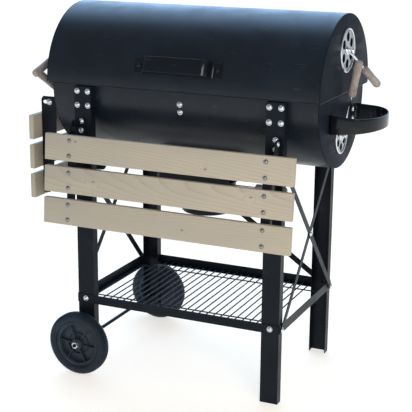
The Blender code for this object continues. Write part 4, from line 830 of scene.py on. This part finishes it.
def build_bolts():
    """Every visible bolt head, grouped by the body that carries it."""
    layer = GAP + PLATE
    end_x = LEG_X + LEG_WEB / 2
    stand = [((side * LEG_X + dx, face * LEG_Y, z), (0, face, 0))
             for side in (-1, 1) for face in (-1, 1)
             for dx in (-LEG_BOLT_DX, LEG_BOLT_DX) for z in LEG_BOLT_Z]
    for side in (-1, 1):
        for face in (-1, 1):
            layers = 2 if side > 0 and face > 0 else 1
            stand.append(((side * LEG_X, face * (LEG_Y + layers * layer), RAIL_BOLT_Z), (0, face, 0)))
            foot_layers, head_layers = (2, 3) if face < 0 else (3, 2)
            for z, layers in ((BRACE_FOOT_Z, foot_layers), (BRACE_HEAD_Z, head_layers)):
                stand.append(((side * (end_x + layers * layer), face * BRACE_Y, z), (side, 0, 0)))
        crossing_z = (BRACE_FOOT_Z + BRACE_HEAD_Z) / 2
        stand.append(((side * (end_x + 3 * layer), 0, crossing_z), (side, 0, 0)))
        for z in FRONT_LUG_BOLT_Z:
            stand.append(((side * FRONT_ARM_X, -LEG_Y - layer, z), (0, -1, 0)))
        stand.append(((side * (FRONT_ARM_X + 0.013), *FRONT_PIVOT), (side, 0, 0)))
        stand.append(((side * (FIREBOX_HALF + DAMPER_BOLT_REACH), 0, LOWER_VENT[0]), (side, 0, 0)))
        for dx in (-HINGE_BOLT_DX, HINGE_BOLT_DX):
            stand.append(((side * HINGE_X + dx, FIREBOX_RADIUS + layer, FIXED_LEAF_BOLT_Z), (0, 1, 0)))
        for z in LOOP_BOLT_Z:
            stand.append(((FIREBOX_HALF + GAP + 0.0031, side * LOOP_FOOT_BOLT_Y, z), (1, 0, 0)))
        for z in SIDE_LUG_BOLT_Z:
            stand.append(((-FIREBOX_HALF - layer, side * SIDE_LUG_BOLT_Y, z), (-1, 0, 0)))
    stand.append(((-LEG_X, LEG_Y + 2 * layer, REAR_BRACE_HEAD_Z), (0, 1, 0)))
    for z in CENTRE_BOLT_Z:
        wall = sqrt(FIREBOX_RADIUS ** 2 - (z - FIREBOX_AXIS_Z) ** 2)
        stand.append(((0, -wall, z), (0, -1, 0)))
    add_piece("stand_bolt_heads", domed_heads(stand), ZINC, "stand", (), 50)
    pins = [((SIDE_PIVOT[0], side * SIDE_PIN_Y, SIDE_PIVOT[1]), (0, side, 0)) for side in (-1, 1)]
    add_piece("side_shelf_pin_heads", domed_heads(pins, 0.0075, 0.0046), ZINC, "stand", (), 50)

    lid = [((side * (LID_HALF + DAMPER_BOLT_REACH), 0, UPPER_VENT[0]), (side, 0, 0)) for side in (-1, 1)]
    lid += [((side * HINGE_X + dx, LID_RADIUS + layer, MOVING_LEAF_BOLT_Z), (0, 1, 0))
            for side in (-1, 1) for dx in (-HINGE_BOLT_DX, HINGE_BOLT_DX)]
    add_piece("lid_bolt_heads", domed_heads(lid), ZINC, "lid", (), 50)
    on_handle = lid_frame(0.0033)
    outward = on_handle.to_3x3() @ Vector((0, 1, 0))
    handle = [(on_handle @ Vector((x, 0, 0)), outward) for x in (-HANDLE_BOLT_X, HANDLE_BOLT_X)]
    add_piece("lid_handle_bolt_heads", domed_heads(handle, 0.0062, 0.0038), STRAP_PAINT, "lid",
              (), 50)

    outward = (0, -cos(FRONT_SHELF_TILT), sin(FRONT_SHELF_TILT))
    front = []
    for i in range(3):
        middle = i * (SLAT_HEIGHT + SLAT_GAP) + SLAT_HEIGHT / 2
        front += [((side * FRONT_ARM_X, *shelf_point(middle + offset)), outward)
                  for side in (-1, 1) for offset in (-SLAT_BOLT_DZ, SLAT_BOLT_DZ)]
    add_piece("front_slat_bolt_heads", domed_heads(front, 0.0052, 0.0040), DULL_ZINC, "front_shelf",
              (), 50)
    outer = SIDE_SLAT_X - SIDE_SLAT_THICKNESS
    side_bolts = []
    for i in range(3):
        middle = SIDE_SLAT_TOP - i * (SIDE_SLAT_HEIGHT + SIDE_SLAT_GAP) - SIDE_SLAT_HEIGHT / 2
        side_bolts += [((outer, side * SIDE_SLAT_BOLT_Y, middle + dz), (-1, 0, 0))
                       for side in (-1, 1) for dz in (-SIDE_SLAT_BOLT_DZ, SIDE_SLAT_BOLT_DZ)]
    add_piece("side_slat_bolt_heads", domed_heads(side_bolts, 0.0052, 0.0040), DULL_ZINC, "side_shelf",
              (), 50)


# ---------------------------------------------------------------- studio
CAMERA_PLACE = (1.27627, -2.83427, 1.30261)     # from the barrel's middle
CAMERA_AZIMUTH, CAMERA_ELEVATION, CAMERA_ROLL = radians(24.32), radians(15.14), radians(0.48)
CAMERA_LENS = 99.64


def build_camera():
    """The camera, placed so that the object is seen as in the photograph."""
    forward = Vector((-sin(CAMERA_AZIMUTH) * cos(CAMERA_ELEVATION),
                      cos(CAMERA_AZIMUTH) * cos(CAMERA_ELEVATION), -sin(CAMERA_ELEVATION)))
    level = Vector((cos(CAMERA_AZIMUTH), sin(CAMERA_AZIMUTH), 0))
    above = level.cross(forward)
    right = level * cos(CAMERA_ROLL) + above * sin(CAMERA_ROLL)
    up = above * cos(CAMERA_ROLL) - level * sin(CAMERA_ROLL)
    place = Vector(CAMERA_PLACE) + MIDDLE
    data = bpy.data.cameras.new("camera")
    data.lens = CAMERA_LENS
    data.sensor_width = 36.0
    camera = bpy.data.objects.new("camera", data)
    camera.matrix_world = Matrix(((right.x, up.x, -forward.x, place.x), (right.y, up.y, -forward.y, place.y),
                                  (right.z, up.z, -forward.z, place.z), (0, 0, 0, 1)))
    bpy.context.scene.collection.objects.link(camera)
    bpy.context.scene.camera = camera


def add_softbox(name, place, target, size, power, colour):
    data = bpy.data.lights.new(name, "AREA")
    data.shape = "RECTANGLE"
    data.size, data.size_y = size
    data.energy = power
    data.color = colour
    light = bpy.data.objects.new(name, data)
    light.location = place
    light.rotation_euler = (Vector(target) - Vector(place)).to_track_quat("-Z", "Y").to_euler()
    bpy.context.scene.collection.objects.link(light)


SKY = (0.27, 0.31, 0.37)
GLOW = (1.70, 2.65, 4.00)
GLOW_TOWARDS = (-0.42, 0.70, 0.58)


def build_ambient():
    """Ambient light: even and dim, with a broad blue glow high behind the left end, as from an open sky."""
    world = bpy.data.worlds.new("studio")
    bpy.context.scene.world = world
    world.use_nodes = True
    nodes, links = world.node_tree.nodes, world.node_tree.links
    direction = nodes.new("ShaderNodeTexCoord").outputs["Generated"]

    def fade(value, low, high):
        made = nodes.new("ShaderNodeMapRange")
        made.interpolation_type = "SMOOTHSTEP"
        made.inputs["From Min"].default_value = low
        made.inputs["From Max"].default_value = high
        links.new(value, made.inputs["Value"])
        return made.outputs[0]

    def blend(factor, first, second):
        made = nodes.new("ShaderNodeMix")
        made.data_type = "RGBA"
        for index, value in ((0, factor), (6, first), (7, second)):
            if isinstance(value, bpy.types.NodeSocket):
                links.new(value, made.inputs[index])
            else:
                made.inputs[index].default_value = (*value, 1.0)
        return made.outputs[2]

    aim = nodes.new("ShaderNodeVectorMath")
    aim.operation = "DOT_PRODUCT"
    links.new(direction, aim.inputs[0])
    aim.inputs[1].default_value = Vector(GLOW_TOWARDS).normalized()
    colour = blend(fade(aim.outputs["Value"], 0.70, 1.0), SKY, GLOW)
    links.new(colour, nodes["Background"].inputs["Color"])


def build_studio():
    """A pale floor, the ambient light, and one warm panel low in front at the right."""
    shape = bmesh.new()
    bmesh.ops.create_grid(shape, x_segments=1, y_segments=1, size=40.0)
    mesh = bpy.data.meshes.new("studio_floor")
    shape.to_mesh(mesh)
    shape.free()
    floor_finish = Finish("studio_floor", Specular_IOR_Level=0.0, Roughness=0.9, Emission_Color=(1, 1, 1, 1),
                          Emission_Strength=0.62)
    tone = floor_finish.noise(0.8, 2.0)
    tones = [(0.3, (0.80, 0.66, 0.50)), (0.7, (0.82, 0.68, 0.52))]
    floor_finish.set("Base Color", floor_finish.ramp(tone, tones))
    mesh.materials.append(floor_finish.material)
    floor = bpy.data.objects.new("studio_floor", mesh)
    floor.location = (0, 0, -0.0008)
    bpy.context.scene.collection.objects.link(floor)

    build_ambient()
    add_softbox("key_panel", (2.1, -2.7, 1.7), (-0.1, -0.25, 0.55), (1.5, 1.3), 46.0, (1.0, 0.94, 0.86))
    bpy.context.scene.view_settings.view_transform = "Standard"


build_camera()
dress_carried_nodes()
build_barrel()
build_handles()
build_dampers()
build_slats()
build_wheels()
build_grids()
build_ash_pot()
build_bolts()
build_studio()
